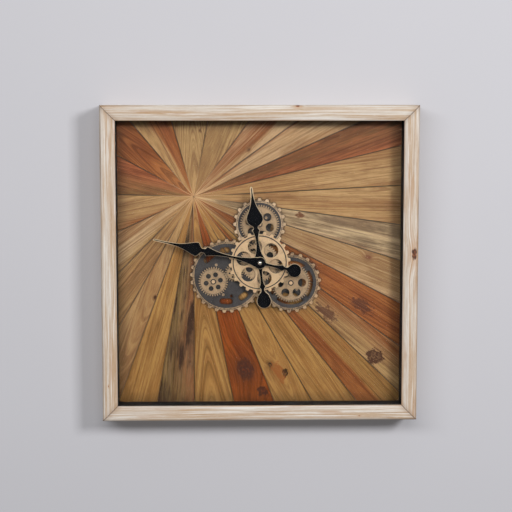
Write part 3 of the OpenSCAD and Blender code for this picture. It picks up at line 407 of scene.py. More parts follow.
def build_plank_wood(s, given):
    """Sawn and sealed timber: growth rings about a tilted pith, fibres, pores, knots and stains."""
    along, across, depth = s.parts(given["Grain"])
    piece = given["Piece"]
    shift_along, shift_across, shift_in = (piece * by for by in PLANK_SHIFT)
    spot = s.point(along + shift_along, across + shift_across, depth + shift_in)

    # Places away from a knot or a stain, counted in its own size
    ragged = s.noise(s.scaled(spot, 0.1, 0.17, 0.17), detail=4.0, roughness=0.62)

    def away_from(mark, stretch, tear):
        size = s.larger(given[mark + " Size"], 0.001)
        reach = s.length(s.point((along - given[mark + " Along"]) * (1 / stretch),
                                 across - given[mark + " Across"], 0.0))
        away = reach / size
        return away, away + (ragged - 0.5) * tear, size

    knot_away, knot_edge, knot_size = away_from("Knot", 1.3, 1.3)
    _, second_edge, _ = away_from("Second", 1.3, 2.2)
    _, stain_edge, _ = away_from("Stain", 2.3, 3.4)
    knot_flow = s.step(knot_away, 3.6, 0.3)

    # The grain wanders slowly, and its rings flow round the knot
    slow = s.noise(s.scaled(spot, 0.006, 0.02, 0.02), detail=1.0) - 0.5
    ripple = s.noise(s.scaled(spot, 0.02, 0.07, 0.07), detail=2.0) - 0.5
    bent = across + (slow * given["Wander"] + ripple * 1.3)
    off = bent - given["Pith Across"]
    ring = s.maths("SQRT", off * off + given["Pith Depth"] * given["Pith Depth"])
    ring = ring + along * given["Taper"]
    ring = ring + knot_flow * s.smaller(knot_size, RING_SWELL) * 1.4
    lay = s.point(along + shift_along, ring + shift_across, 0.0)

    # Growth rings, of uneven width, each darkening slowly and ending sharply
    turn = ring / given["Ring Width"]
    uneven = s.noise(s.point(turn * 0.37, piece, 0.5), detail=2.0)
    share = s.maths("FRACT", turn + uneven * 2.6)
    late = s.step(share, 0.25, 0.86) * s.step(share, 1.0, 0.9)
    faded = s.step(s.noise(s.scaled(lay, 0.008, 0.1, 0.1), detail=2.0), 0.3, 0.65, 0.2, 1.0)
    late = late * faded

    # Bands, streaks, fine lines, fibres, pores and the marks of the saw
    broad = s.noise(s.scaled(lay, 0.004, 0.075, 0.0), detail=2.0)
    patch = s.noise(s.scaled(spot, 0.011, 0.035, 0.035), detail=3.0)
    streak = s.noise(s.scaled(s.moved(lay, (5.0, 31.0, 0.0)), 0.004, 0.24, 0.0), detail=4.0,
                     roughness=0.66)
    line = s.noise(s.scaled(s.moved(lay, (11.0, 7.0, 3.0)), 0.005, 0.5, 0.0), detail=3.0,
                   roughness=0.62)
    fibre = s.noise(s.scaled(spot, 0.03, 1.5, 1.5), detail=3.0, roughness=0.7)
    pore = s.step(s.noise(s.scaled(spot, 0.07, 2.2, 2.2), detail=1.0), 0.6, 0.68)
    saw = s.noise(s.scaled(spot, 0.9, 0.05, 0.05), detail=1.0)

    # Colour
    dist_a, dist_b, _ = s.parts(given["Seams"])
    wedge = dist_a / s.larger(dist_a + dist_b, 0.01)
    wavy = wedge + slow * 0.5
    split = s.step(wavy, given["Split At"] - given["Split Softness"],
                   given["Split At"] + given["Split Softness"])
    tone = s.mix(s.step(broad, 0.38, 0.62), given["Light"], given["Middle"])
    other = s.mix(s.step(broad, 0.38, 0.62, 0.22, 0.0), given["Split Colour"], given["Light"])
    tone = s.mix(split, tone, other)
    for pattern, low, high, most, colour in (
            (patch, 0.52, 0.72, 0.5, "Dark"), (patch, 0.46, 0.28, 0.55, "Light"),
            (streak, 0.52, 0.64, 0.42, "Dark"), (streak, 0.48, 0.36, 0.42, "Light"),
            (line, 0.52, 0.62, 0.5, "Dark"), (line, 0.47, 0.38, 0.32, "Light")):
        tone = s.layer(tone, pattern, low, high, most, given[colour])
    tone = s.mix(late * given["Ring Strength"], tone, given["Dark"])
    tone = s.layer(tone, fibre, 0.46, 0.66, 0.4, given["Dark"])
    tone = s.layer(tone, fibre, 0.44, 0.28, 0.35, given["Light"])
    tone = s.mix(pore * 0.5, tone, given["Dark"])

    # The boards run paler where they meet
    tone = s.layer(tone, along, 120.0, 20.0, 0.14, paint(158, 120, 80))

    # Grey weather streaks and dark old ones
    grey = s.noise(s.scaled(s.moved(lay, (90.0, 40.0, 0.0)), 0.006, 0.12, 0.0), detail=5.0,
                   roughness=0.66)
    dusk = s.noise(s.scaled(s.moved(spot, (30.0, 9.0, 0.0)), 0.012, 0.04, 0.04), detail=3.0)
    old = grey * 0.6 + dusk * 0.4
    tone = s.mix(s.step(grey, 0.42, 0.6) * (given["Weather"] * 0.45), tone, paint(128, 100, 68))
    tone = s.mix(s.step(old, 0.485, 0.57) * given["Weather"], tone, paint(50, 33, 23))

    # Knots, stain, and dirt along the seams, which stay clean where the boards run together
    tone = s.layer(tone, knot_away, 2.8, 0.8, 0.5, s.mix(0.5, given["Dark"], given["Knot Colour"]))
    flecks = s.step(s.noise(s.scaled(spot, 0.2, 0.3, 0.3), detail=3.0), 0.47, 0.6, 0.0, 0.4)

    def heart(edge):
        inner = s.step(edge, 0.8, 0.35) * flecks
        return s.mix(inner, given["Knot Colour"], given["Middle"])
    tone = s.layer(tone, knot_edge, 1.15, 0.6, 0.94, heart(knot_edge))
    tone = s.layer(tone, second_edge, 1.1, 0.8, 0.94, heart(second_edge))
    blot = s.step(stain_edge, 1.25, 0.75) * s.step(line, 0.34, 0.46, 0.5, 0.84)
    tone = s.mix(blot, tone, given["Stain Colour"])
    edge = s.smaller(dist_a, dist_b) + (streak - 0.5) * 1.0
    dirt = s.step(edge, 1.5, 0.7) * given["Seam Shade"]
    dirt = dirt * s.step(along, 25.0, 110.0, 0.0, 1.0)
    tone = s.mix(dirt, tone, paint(46, 29, 18))
    tone = s.mix(s.step(edge, 1.2, 0.3) * s.step(along, 80.0, 10.0, 0.0, 0.6), tone,
                 paint(180, 142, 102))

    rough = s.step(fibre, 0.3, 0.7, 0.38, 0.54) + late * -0.06
    height = fibre * 0.6 + (late * 0.35 + saw * 0.25)
    height = height - (pore * 0.5 + s.step(knot_edge, 1.1, 0.6, 0.0, 0.4))
    return {"Color": tone, "Roughness": rough, "Height": height}


# What the marks of a plank set. A knot, a second knot and a stain have a place along and across
# the plank and a size; a split is where a board that was glued on begins, and how softly
MARKS = {
    "pith": ("Pith Across", "Pith Depth"),
    "split": ("Split At", "Split Softness", "Split Colour"),
    "knot": ("Knot Along", "Knot Across", "Knot Size"),
    "second": ("Second Along", "Second Across", "Second Size"),
    "stain": ("Stain Along", "Stain Across", "Stain Size"),
}


def board(timber, ring_width, **marks):
    """One plank: its timber, and what its marks set in that wood."""
    values = {"Ring Width": ring_width}
    for mark, value in marks.items():
        if mark in MARKS:
            values.update(zip(MARKS[mark], value))
        else:
            values[mark.replace("_", " ").title()] = value
    return timber, values


# Each plank, anticlockwise from the right
PLANKS = (
    board("honey", 6.0, pith_across=-60.0, taper=0.01),
    board("chestnut", 7.0, pith=(20.0, 12.0), split=(0.2, 0.3, TIMBER["umber"][1]), taper=0.03),
    board("straw", 4.5, pith_across=40.0, split=(0.84, 0.08, TIMBER["chestnut"][1])),
    board("straw", 5.0, pith_across=-34.0, split=(0.36, 0.05, TIMBER["russet"][1]),
          knot=(137.0, -11.0, 2.2)),
    board("tan", 6.5, pith=(10.0, 60.0), taper=0.02),
    board("tan", 5.5, pith=(-4.0, 9.0), knot=(124.0, -18.0, 1.6), taper=0.09),
    board("russet", 5.0, pith_across=26.0, split=(0.55, 0.08, TIMBER["tan"][0])),
    board("russet", 4.6, pith=(-2.0, 8.0), taper=0.1, ring_strength=0.75, wander=10.0),
    board("chestnut", 6.0, pith_across=30.0, split=(0.6, 0.4, TIMBER["umber"][0])),
    board("honey", 7.0, pith_across=-40.0, split=(0.93, 0.08, TIMBER["russet"][1])),
    board("straw", 7.0, pith_across=60.0, split=(0.8, 0.2, TIMBER["olive"][0])),
    board("tan", 6.0, pith_across=-50.0, split=(0.1, 0.12, TIMBER["honey"][1]), taper=0.02),
    board("honey", 6.0, pith=(12.0, 40.0), knot=(207.0, 15.0, 2.8), taper=0.05),
    board("amber", 5.5, pith_across=-30.0),
    board("umber", 4.5, pith_across=20.0, split=(0.5, 0.3, TIMBER["chestnut"][1]), weather=1.0),
    board("amber", 8.5, pith=(-2.0, 7.0), taper=-0.16, ring_strength=0.62, wander=9.0),
    board("redwood", 7.5, pith_across=30.0, knot=(348.0, 3.0, 17.0), second=(398.0, 22.0, 9.0),
          knot_colour=paint(56, 31, 23), wander=2.0),
    board("amber", 5.0, pith=(5.0, 10.0), knot=(357.0, -8.0, 4.0), second=(384.0, 10.0, 6.5),
          stain=(376.0, 0.0, 9.0), taper=0.07, knot_colour=paint(34, 19, 14),
          stain_colour=paint(118, 66, 30)),
    board("amber", 8.0, pith_across=50.0),
    board("russet", 5.0, pith_across=-30.0, split=(0.44, 0.05, TIMBER["olive"][0])),
    board("tan", 5.0, pith_across=-44.0, split=(0.55, 0.3, TIMBER["russet"][1]),
          second=(466.0, -14.0, 14.0), stain=(340.0, -10.0, 10.0), knot_colour=paint(60, 33, 24)),
    board("russet", 4.5, pith_across=-40.0, knot=(262.0, 5.0, 6.0), stain=(385.0, -9.0, 10.0),
          knot_colour=paint(96, 54, 44)),
    board("straw", 5.0, pith_across=-60.0, split=(0.12, 0.08, TIMBER["tan"][1]),
          knot=(354.0, 19.0, 4.6), knot_colour=paint(98, 60, 42)),
    board("driftwood", 5.0, pith_across=18.0, split=(0.14, 0.1, TIMBER["driftwood"][0]),
          second=(206.0, 9.0, 6.0), weather=0.5, knot_colour=paint(88, 52, 29)),
    board("honey", 7.5, pith_across=30.0, taper=0.02),
)
# Where each plank begins, in degrees anticlockwise from the right, and where the last one ends
PLANK_SEAMS = (3, 13.7, 24, 36, 53.5, 79, 106, 130, 151.5, 178.5, 205, 225.5, 240, 249.7, 259.8,
               270, 280.8, 291.2, 299.8, 308.3, 316.3, 323.8, 332.5, 342.7, 352.1, 363)
# The CAD nodes that hold the planks, and the material slot of each
PLANK_SLOTS = {"planks_honey": "honey_timber", "planks_tan": "tan_timber",
               "planks_russet": "russet_timber", "planks_brown": "brown_timber",
               "planks_weathered": "weathered_timber"}


# Within this distance of the sunburst's centre, in millimetres, the tips run on almost to a point,
# and keep this share of their distance
TIP_REACH, TIP_SHARE = 6.0, 0.05
# Corners nearer to the centre than this say too little about where a plank lies
TIP_LENGTH = 50.0


def from_centre(spot, centre):
    """How far a point lies to the side of the sunburst's centre, and above it, in millimetres."""
    return spot.x / MM - centre[0], spot.z / MM - centre[1]


def plank_material(number, seam_shade):
    """The finish of one plank, from its timber and its own marks, with painted shade near the gears
    and along the frame.
    """
    timber, marks = PLANKS[number]
    light, middle, dark = TIMBER[timber]

    def build(shader):
        tree = shader_group("plank_wood", WOOD_INPUTS, WOOD_OUTPUTS, build_plank_wood)
        values = {"Grain": shader.attribute("grain", "Vector"),
                  "Seams": shader.attribute("seams", "Vector"), "Piece": float(number + 1),
                  "Light": light, "Middle": middle, "Dark": dark, "Seam Shade": seam_shade}
        values.update(marks)
        made = shader.group(tree, values)
        # Painted shade: the boards darken where the gears and plates lie close over them
        painted_shade = shader.step(shader.shelter(6.0), 0.97, 0.55, 0.0, 0.75)
        painted_shade = painted_shade * shader.step(shader.parts(values["Grain"])[0], 8.0, 30.0)
        # Painted shade, too, in a band along the rails, which shade the boards' edges
        x, _, z = shader.parts(shader.place())
        to_side = OPENING_HALF - shader.larger(shader.unsigned(x),
                                              shader.unsigned(z - FRAME_MIDDLE_Z))
        painted_shade = shader.larger(painted_shade, shader.step(to_side, 26.0, 1.0, 0.0, 0.4))
        return {"Base Color": shader.mix(painted_shade, made["Color"], paint(40, 27, 19)),
                "Roughness": made["Roughness"],
                "Normal": shader.bump(made["Height"], 0.5, 0.25)}
    return new_material("timber_plank_%02d" % (number + 1), build, Specular_IOR_Level=0.12)


def welded_islands(node):
    """The separate solids in a CAD node, each a bmesh with its doubled vertices joined."""
    whole = bmesh.new()
    whole.from_mesh(NODES[node].data)
    bmesh.ops.remove_doubles(whole, verts=whole.verts, dist=0.001 * MM)
    whole.verts.ensure_lookup_table()
    seen = set()
    for start in whole.verts:
        if start in seen:
            continue
        seen.add(start)
        edge, island = [start], []
        while edge:
            vert = edge.pop()
            island.append(vert)
            for link in vert.link_edges:
                other = link.other_vert(vert)
                if other not in seen:
                    seen.add(other)
                    edge.append(other)
        made = bmesh.new()
        copies = {vert: made.verts.new(vert.co) for vert in island}
        for face in dict.fromkeys(face for vert in island for face in vert.link_faces):
            made.faces.new([copies[vert] for vert in face.verts])
        made.normal_update()
        yield made
    whole.free()


def new_piece(name, mesh, body, slot, *replaced):
    """A piece of the clock from a finished mesh, on the body it moves with."""
    made = bpy.data.objects.new(name, mesh)
    bpy.context.scene.collection.objects.link(made)
    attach(made, body)
    if replaced:
        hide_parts(*replaced)
    return made


def soften(piece, width, segments=2, angle=32.0):
    """Rounds the sharp edges of a piece and shades it smoothly between them."""
    weld = piece.modifiers.new("join doubles", "WELD")
    weld.merge_threshold = 0.001 * MM
    if width > 0:
        ease = piece.modifiers.new("eased edges", "BEVEL")
        ease.width = width
        ease.segments = segments
        ease.limit_method = "ANGLE"
        ease.angle_limit = math.radians(angle)
        ease.miter_outer = "MITER_ARC"
    crease = piece.modifiers.new("creases", "NODES")
    crease.node_group = crease_nodes()
    even = piece.modifiers.new("flat faces", "WEIGHTED_NORMAL")
    even.keep_sharp = True


# Edges that turn more than this, in degrees, stay sharp
CREASE_ANGLE = 35


def crease_nodes():
    """Geometry nodes that shade smoothly, apart from edges that turn more than CREASE_ANGLE."""
    tree = bpy.data.node_groups.get("crease_shading")
    if tree:
        return tree
    tree = bpy.data.node_groups.new("crease_shading", "GeometryNodeTree")
    tree.is_modifier = True
    tree.interface.new_socket(name="Geometry", in_out="INPUT", socket_type="NodeSocketGeometry")
    tree.interface.new_socket(name="Geometry", in_out="OUTPUT", socket_type="NodeSocketGeometry")
    s = Shader(tree)
    bare = s.out("GeometryNodeRemoveAttribute", {
        "Geometry": s.out("NodeGroupInput"), "Name": "custom_normal"})
    sharp = s.out("FunctionNodeCompare", {
        0: s.out("GeometryNodeInputMeshEdgeAngle", output="Unsigned Angle"),
        1: math.radians(CREASE_ANGLE)}, data_type="FLOAT", operation="GREATER_THAN")

    def shade(geometry, domain, smooth, picked=True):
        return s.out("GeometryNodeSetShadeSmooth", {
            0: geometry, "Selection": picked, "Shade Smooth": smooth}, domain=domain)
    smooth = shade(shade(bare, "FACE", True), "EDGE", True)
    s.node("NodeGroupOutput", {0: shade(smooth, "EDGE", False, sharp)})
    return tree


class GEARCLOCK_OT_sunburst(bpy.types.Operator):
    """Cuts the planked panel into its own boards, each with its own timber"""
    bl_idname = "gearclock.sunburst"
    bl_label = "Sunburst planks"

    def execute(self, context):
        settings = context.scene.gear_clock.sunburst
        centre = (settings.centre_x / MM, settings.centre_z / MM)
        found = []
        for node in PLANK_SLOTS:
            islands = {}
            for island in welded_islands(node):
                islands.setdefault(self.number_of(island, centre), []).append(island)
            found += [(number, node, solids) for number, solids in islands.items()]
        if sorted(number for number, _, _ in found) != list(range(len(PLANKS))):
            raise RuntimeError("the panel doesn't split into %d planks" % len(PLANKS))
        for number, node, islands in found:
            piece = self.plank(number, islands, centre, front_of("planks_honey"), node, settings)
            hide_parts(node)
        return {"FINISHED"}

    def number_of(self, island, centre):
        """Which plank a solid is, from the way that it lies from the sunburst's centre."""
        middle = Vector((0, 0))
        for vert in island.verts:
            away = Vector(from_centre(vert.co, centre))
            if away.length > TIP_LENGTH:
                middle += away.normalized()
        turn = math.degrees(math.atan2(middle.y, middle.x)) % 360
        if turn < PLANK_SEAMS[0]:
            turn += 360
        return max(i for i in range(len(PLANKS)) if PLANK_SEAMS[i] <= turn)

    def plank(self, number, islands, centre, front, node, settings):
        """One plank with its grain laid along its own middle line."""
        start, end = (math.radians(PLANK_SEAMS[number + i]) for i in (0, 1))
        middle = (start + end) / 2
        whole = bmesh.new()
        for island in islands:
            bmesh.ops.dissolve_limit(island, angle_limit=math.radians(0.5), verts=island.verts,
                                     edges=island.edges)
            part = bpy.data.meshes.new("part")
            island.to_mesh(part)
            whole.from_mesh(part)
            bpy.data.meshes.remove(part)
            island.free()
        mesh = bpy.data.meshes.new("plank_%02d" % (number + 1))
        whole.to_mesh(mesh)
        whole.free()
        grain = mesh.attributes.new("grain", "FLOAT_VECTOR", "POINT")
        seams = mesh.attributes.new("seams", "FLOAT_VECTOR", "POINT")
        for i, vert in enumerate(mesh.vertices):
            x, z = from_centre(vert.co, centre)
            if math.hypot(x, z) < TIP_REACH:
                vert.co.x = (centre[0] + x * TIP_SHARE) * MM
                vert.co.z = (centre[1] + z * TIP_SHARE) * MM
                x, z = from_centre(vert.co, centre)
            grain.data[i].vector = (x * math.cos(middle) + z * math.sin(middle),
                                    z * math.cos(middle) - x * math.sin(middle),
                                    -vert.co.y / MM - front)
            seams.data[i].vector = (z * math.cos(start) - x * math.sin(start),
                                    x * math.sin(end) - z * math.cos(end), 0.0)
        mesh.materials.append(plank_material(number, settings.seam_dirt))
        piece = new_piece("plank_%02d" % (number + 1), mesh, FRAME_BODY, PLANK_SLOTS[node])
        soften(piece, settings.eased_edge)
        return piece


# Limed frame

RAIL_INPUTS = (
    ("Grain", "vector"), ("Piece", "value", 0.0), ("Mitre", "value", 50.0),
    ("Bare", "colour", paint(214, 184, 154)), ("Lime", "colour", paint(229, 218, 206)),
    ("Worn", "colour", paint(158, 122, 92)),
    ("Knot Along", "value", 0.0), ("Knot Across", "value", 0.0), ("Knot Size", "value", 0.0),
)


# How far the grain is moved from rail to rail, along, across and into it
RAIL_SHIFT = (733.0, 61.0, 17.0)


def build_limed_wood(s, given):
    """Brushed wood with lime in its grain. Grain is (along, from the outer edge, depth)."""
    along, across, depth = s.parts(given["Grain"])
    piece = given["Piece"]
    shift_along, shift_across, shift_in = (piece * by for by in RAIL_SHIFT)
    spot = s.point(along + shift_along, across + shift_across, depth + shift_in)
    slow = s.noise(s.scaled(spot, 0.005, 0.04, 0.04), detail=2.0) - 0.5
    ragged = s.noise(s.scaled(spot, 0.15, 0.3, 0.3), detail=3.0) - 0.5
    knot_size = s.larger(given["Knot Size"], 0.001)
    away = s.length(s.point((along - given["Knot Along"]) * 0.45, across - given["Knot Across"],
                            0.0)) / knot_size
    knot = s.step(away + ragged * 1.3, 1.1, 0.6)
    near_front = s.step(depth + RAIL_FRONT, 18.0, 4.0)
    knot = knot * near_front
    flow = s.step(away, 4.5, 0.3) * knot_size * near_front
    bent = s.point(along, slow * 5.0 + across + flow, depth + slow * 3.0)
    bent = s.moved(bent, s.point(shift_along, shift_across, 0.0))
    broad = s.noise(s.scaled(bent, 0.004, 0.1, 0.1), detail=3.0, roughness=0.6)
    streak = s.noise(s.scaled(bent, 0.007, 0.4, 0.4), detail=4.0, roughness=0.62)
    fibre = s.noise(s.scaled(bent, 0.06, 1.9, 1.9), detail=3.0, roughness=0.7)
    pore = s.step(s.noise(s.scaled(bent, 0.09, 2.4, 2.4), detail=1.0), 0.58, 0.7)

    tone = s.mix(s.step(broad, 0.38, 0.62), given["Lime"], given["Bare"])
    pink = s.mix(0.5, given["Bare"], paint(205, 172, 156))
    scratch = s.noise(s.scaled(s.moved(bent, (310.0, 5.0, 8.0)), 0.007, 0.75, 0.75), detail=3.0,
                      roughness=0.6)
    brushed = s.noise(s.scaled(s.moved(bent, (200.0, 9.0, 3.0)), 0.006, 0.36, 0.36), detail=3.0)
    bald = s.noise(s.scaled(s.moved(bent, (70.0, 2.0, 6.0)), 0.011, 0.12, 0.12), detail=3.0)
    for pattern, low, high, most, colour in (
            (streak, 0.46, 0.62, 0.6, given["Bare"]), (streak, 0.4, 0.3, 0.4, pink),
            (streak, 0.58, 0.7, 0.65, paint(180, 140, 104)),
            (scratch, 0.6, 0.68, 0.7, paint(158, 114, 80))):
        tone = s.layer(tone, pattern, low, high, most, colour)
    tone = s.mix(s.step(brushed, 0.52, 0.62) * 0.85, tone, paint(242, 236, 228))
    tone = s.layer(tone, fibre, 0.45, 0.72, 0.3, paint(176, 146, 118))
    tone = s.mix(pore * 0.35, tone, paint(244, 238, 230))
    tone = s.layer(tone, bald, 0.58, 0.68, 0.5, paint(192, 150, 112))

    # Rubbed outer edges, and the brown of the bare wood there
    corner = s.length(s.point(across, depth + RAIL_FRONT, 0.0))
    outer = corner + (streak - 0.5) * 6.0 + slow * 4.0
    worn = s.step(outer, 3.6, 0.8) * s.step(broad, 0.34, 0.56, 0.3, 0.95)
    tone = s.mix(worn, tone, given["Worn"])
    # The inner edge darkens towards the worn colour all round: partly wear, partly painted shade
    # along the inner bevel
    inner = s.unsigned(RAIL_WIDTH - across) + (streak - 0.5) * 5.0
    tone = s.mix(s.step(inner, 2.2, 0.4) * 0.4, tone, given["Worn"])
    tone = s.layer(tone, given["Mitre"], 14.0, 0.0, 0.3, given["Worn"])
    tone = s.layer(tone, given["Mitre"] + ragged * 1.2, 1.1, 0.35, 0.85, paint(74, 54, 40))
    halo = s.step(away, 3.4, 0.8, 0.0, 0.5) * near_front
    tone = s.mix(halo, tone, paint(196, 152, 112))
    heart = s.mix(s.step(ragged, -0.06, 0.1), paint(72, 38, 26), paint(140, 78, 46))
    tone = s.mix(knot * 0.95, tone, heart)
    rough = s.step(fibre, 0.3, 0.7, 0.55, 0.72)
    height = fibre * 0.7 + streak * 0.6 - (pore * 0.4 + knot * 0.8)
    return {"Color": tone, "Roughness": rough, "Height": height}


RAIL_TOP, RAIL_FOOT = FRAME_MIDDLE_Z + FRAME_HALF, FRAME_MIDDLE_Z - FRAME_HALF
# Each rail: how its grain lies, and the knot on it (along, from the outer edge, size)
RAILS = {
    "frame_rail_top": (lambda s, x, y, z: s.point(x, RAIL_TOP - z, y), (70.0, 2.0, 2.0)),
    "frame_rail_right": (lambda s, x, y, z: s.point(z, FRAME_HALF - x, y), (-268.0, 8.0, 5.5)),
    "frame_rail_bottom": (lambda s, x, y, z: s.point(x, z - RAIL_FOOT, y), (190.0, 9.0, 0.8)),
    "frame_rail_left": (lambda s, x, y, z: s.point(z, x + FRAME_HALF, y), (-520.0, 12.0, 0.8)),
}


def set_material(node, material):
    """Puts a material on every slot of a CAD node."""
    piece = NODES[node]
    if not piece.material_slots:
        raise RuntimeError("%s has no material slot" % node)
    for slot in piece.material_slots:
        slot.link = "OBJECT"
        slot.material = material
    return piece


class GEARCLOCK_OT_frame(bpy.types.Operator):
    """Finishes the four mitred rails in lime-washed wood"""
    bl_idname = "gearclock.frame"
    bl_label = "Limed frame"

    def execute(self, context):
        settings = context.scene.gear_clock.frame
        for number, (node, (lay, knot)) in enumerate(RAILS.items()):
            def build(shader, lay=lay, knot=knot, number=number):
                tree = shader_group("limed_wood", RAIL_INPUTS, WOOD_OUTPUTS, build_limed_wood)
                x, y, z = shader.parts(shader.place())
                side = FRAME_HALF - shader.unsigned(x)
                end = FRAME_HALF - shader.unsigned(z - FRAME_MIDDLE_Z)
                made = shader.group(tree, {
                    "Grain": lay(shader, x, y, z), "Piece": number + 1.0,
                    "Mitre": shader.unsigned(side - end),
                    "Bare": (*settings.bare_wood, 1), "Lime": (*settings.lime_wash, 1),
                    "Worn": (*settings.worn_edge, 1), "Knot Along": knot[0],
                    "Knot Across": knot[1], "Knot Size": knot[2]})
                return {"Base Color": made["Color"], "Roughness": made["Roughness"],
                        "Normal": shader.bump(made["Height"], 0.5, 0.3)}
            material = new_material("limed_" + node[6:], build, Specular_IOR_Level=0.3)
            soften(set_material(node, material), settings.eased_edge)
        return {"FINISHED"}


# Metal

METAL_INPUTS = (
    ("Place", "vector"), ("Raised", "value", 1.0), ("Brush", "value", 0.5),
    ("Bright", "colour", paint(196, 166, 128)), ("Middle", "colour", paint(160, 132, 100)),
    ("Grime", "colour", paint(56, 46, 38)),
)


def build_rubbed_patina(s, given):
    """Metal paint that is rubbed bright where it stands proud and dark where it doesn't; Raised
    also carries painted shade from recesses and nearby parts.
    """
    spot = given["Place"]
    blotch = s.noise(s.scaled(spot, 0.09), detail=4.0, roughness=0.6)
    grit = s.noise(s.scaled(spot, 0.75), detail=4.0, roughness=0.65)
    fine = s.noise(s.scaled(spot, 2.6), detail=2.0)
    worn = blotch * 0.5 + grit * 0.5
    loss = s.step(worn, 0.44, 0.62) * given["Brush"]
    tone = s.maths("MULTIPLY", given["Raised"], 1.0 - loss, clamp=True)
    colour = s.mix(s.step(tone, 0.04, 0.5), given["Grime"], given["Middle"])
    colour = s.mix(s.step(tone, 0.45, 0.95), colour, given["Bright"])
    colour = s.layer(colour, grit, 0.36, 0.24, 0.3, given["Grime"])
    colour = s.layer(colour, fine, 0.6, 0.75, 0.22, given["Grime"])
    colour = s.layer(colour, fine, 0.4, 0.28, 0.18, given["Bright"])
    rough = s.step(tone, 0.0, 1.0, 0.62, 0.42) + (grit - 0.5) * 0.25
    metallic = s.step(tone, 0.1, 0.8, 0.15, 0.42)
    height = grit * 0.6 + fine * 0.4
    return {"Color": colour, "Roughness": rough, "Metallic": metallic, "Height": height}


def rubbed_patina(shader, raised, bright, middle, grime, brush, relief=0.12, recess=2.6, edges=0.0):
    """The sockets of a rubbed metal finish: dark patina in its recesses, painted shade where other
    parts lie close over it, and bright along its edges.
    """
    # Painted shade: darker in recesses and where other parts lie close over it, mixed with the dark
    # patina of its hollows
    raised = raised * shader.step(shader.shelter(recess), 0.3, 0.85, 0.05, 1.0)
    if edges:
        edge = shader.step(shader.shelter(0.9, inside=True), 0.93, 0.7)
        raised = shader.larger(raised, edge * edges * shader.facing(0.2, 0.7))
    tree = shader_group("rubbed_patina", METAL_INPUTS,
                        (("Color", "colour"), ("Roughness", "value"), ("Metallic", "value"),
                         ("Height", "value")), build_rubbed_patina)
    made = shader.group(tree, {"Place": shader.place(), "Raised": raised, "Brush": brush,
                               "Bright": bright, "Middle": middle, "Grime": grime})
    return {"Base Color": made["Color"], "Roughness": made["Roughness"],
            "Metallic": made["Metallic"], "Normal": shader.bump(made["Height"], 0.35, relief)}


# The dark lines round the gears' faces, as (inner, outer) radii in millimetres
MAIN_LINE = (49.45, 51.55)
PIN_LINE = (3.4, 5.5)
STEP_LINES = {"top_gear": (33.4, 34.1), "right_gear": (33.4, 34.1), "idler_gear": (13.7, 14.4),
              "left_gear": (24.2, 24.9)}
# On each base plate, where the raised rim begins, and the radius at the roots of its teeth
PLATE_RADII = {"left_base_plate": (62.2, 66.0), "right_base_ring": (49.2, 53.0),
               "top_base_ring": (41.5, 45.3)}


class GEARCLOCK_OT_gears(bpy.types.Operator):
    """Rubs the turning gears and their pins bright over a dark patina"""
    bl_idname = "gearclock.gears"
    bl_label = "Gears"

    def execute(self, context):
        settings = context.scene.gear_clock.metal
        pale, bronze = (*settings.pale_bronze, 1.0), (*settings.bronze, 1.0)
        grime = (*settings.grime, 1.0)
        ease = settings.eased_edge

        def gear(node, bright, brush, ledge, lines=(), **finish):
            """A gear with dark lines round its face. Its ledge is (from, to, share) in height."""
            def build(s):
                raised = s.facing() * 0.97 * s.step(s.height(), *ledge)
                for low, high in lines:
                    line = s.band(s.radius_about(middle_of(node)), low, high, 0.15)
                    raised = raised * (1.0 - line * 0.98)
                return rubbed_patina(s, raised, bright, fade(bright, 0.32, grime[:3]), grime, brush,
                                     **finish)
            soften(set_material(node, new_material("rubbed_" + node, build)), ease)

        main_front, fine_front = front_of("main_gear"), front_of("left_gear")
        gear("main_gear", pale, 0.5, (main_front - 1.2, main_front - 0.5, 0.1), [MAIN_LINE])
        # The gear under the main gear is darker, with a wider recess reach: its patina, and painted
        # shade from the main gear over it
        gear("main_fine_gear", fade(bronze, 0.12, grime[:3]), 0.8,
             (fine_front - 1.3, fine_front - 0.4, 0.6), recess=6.0, edges=1.0)
        for node, step_line in STEP_LINES.items():
            gear(node, fade(bronze, 0.28), 0.6, (fine_front - 1.3, fine_front - 0.4, 0.7),
                 [PIN_LINE, step_line])

        def pin_build(s):
            raised = s.facing() * s.step(s.height(), fine_front - 0.6, fine_front + 0.2, 0.3, 1.0)
            return rubbed_patina(s, raised, pale, bronze, grime, 0.4)
        soften(set_material("gear_pins", new_material("rubbed_pins", pin_build)), ease)

        def shaft_build(s):
            shown = s.step(s.height(), fine_front - 3.0, fine_front - 2.0)
            made = rubbed_patina(s, s.facing(), pale, bronze, grime, 0.4)
            speckle = s.noise(s.scaled(s.place(), 1.0))
            steel = s.mix(speckle, paint(186, 188, 190), paint(150, 153, 156))
            made["Base Color"] = s.mix(shown, steel, made["Base Color"])
            made["Metallic"] = s.larger(made["Metallic"], 1.0 - shown)
            return made
        soften(set_material("drive_shaft", new_material("rubbed_shaft", shaft_build)), ease / 2)

        def nut_build(s):
            return rubbed_patina(s, s.facing() * 0.5 + 0.45, paint(206, 176, 118),
                                 paint(172, 138, 84), grime, 0.25)
        brass = new_material("turned_brass", nut_build)
        for node in ("main_gear_bush", "bushing_nut"):
            soften(set_material(node, brass), ease)
        return {"FINISHED"}


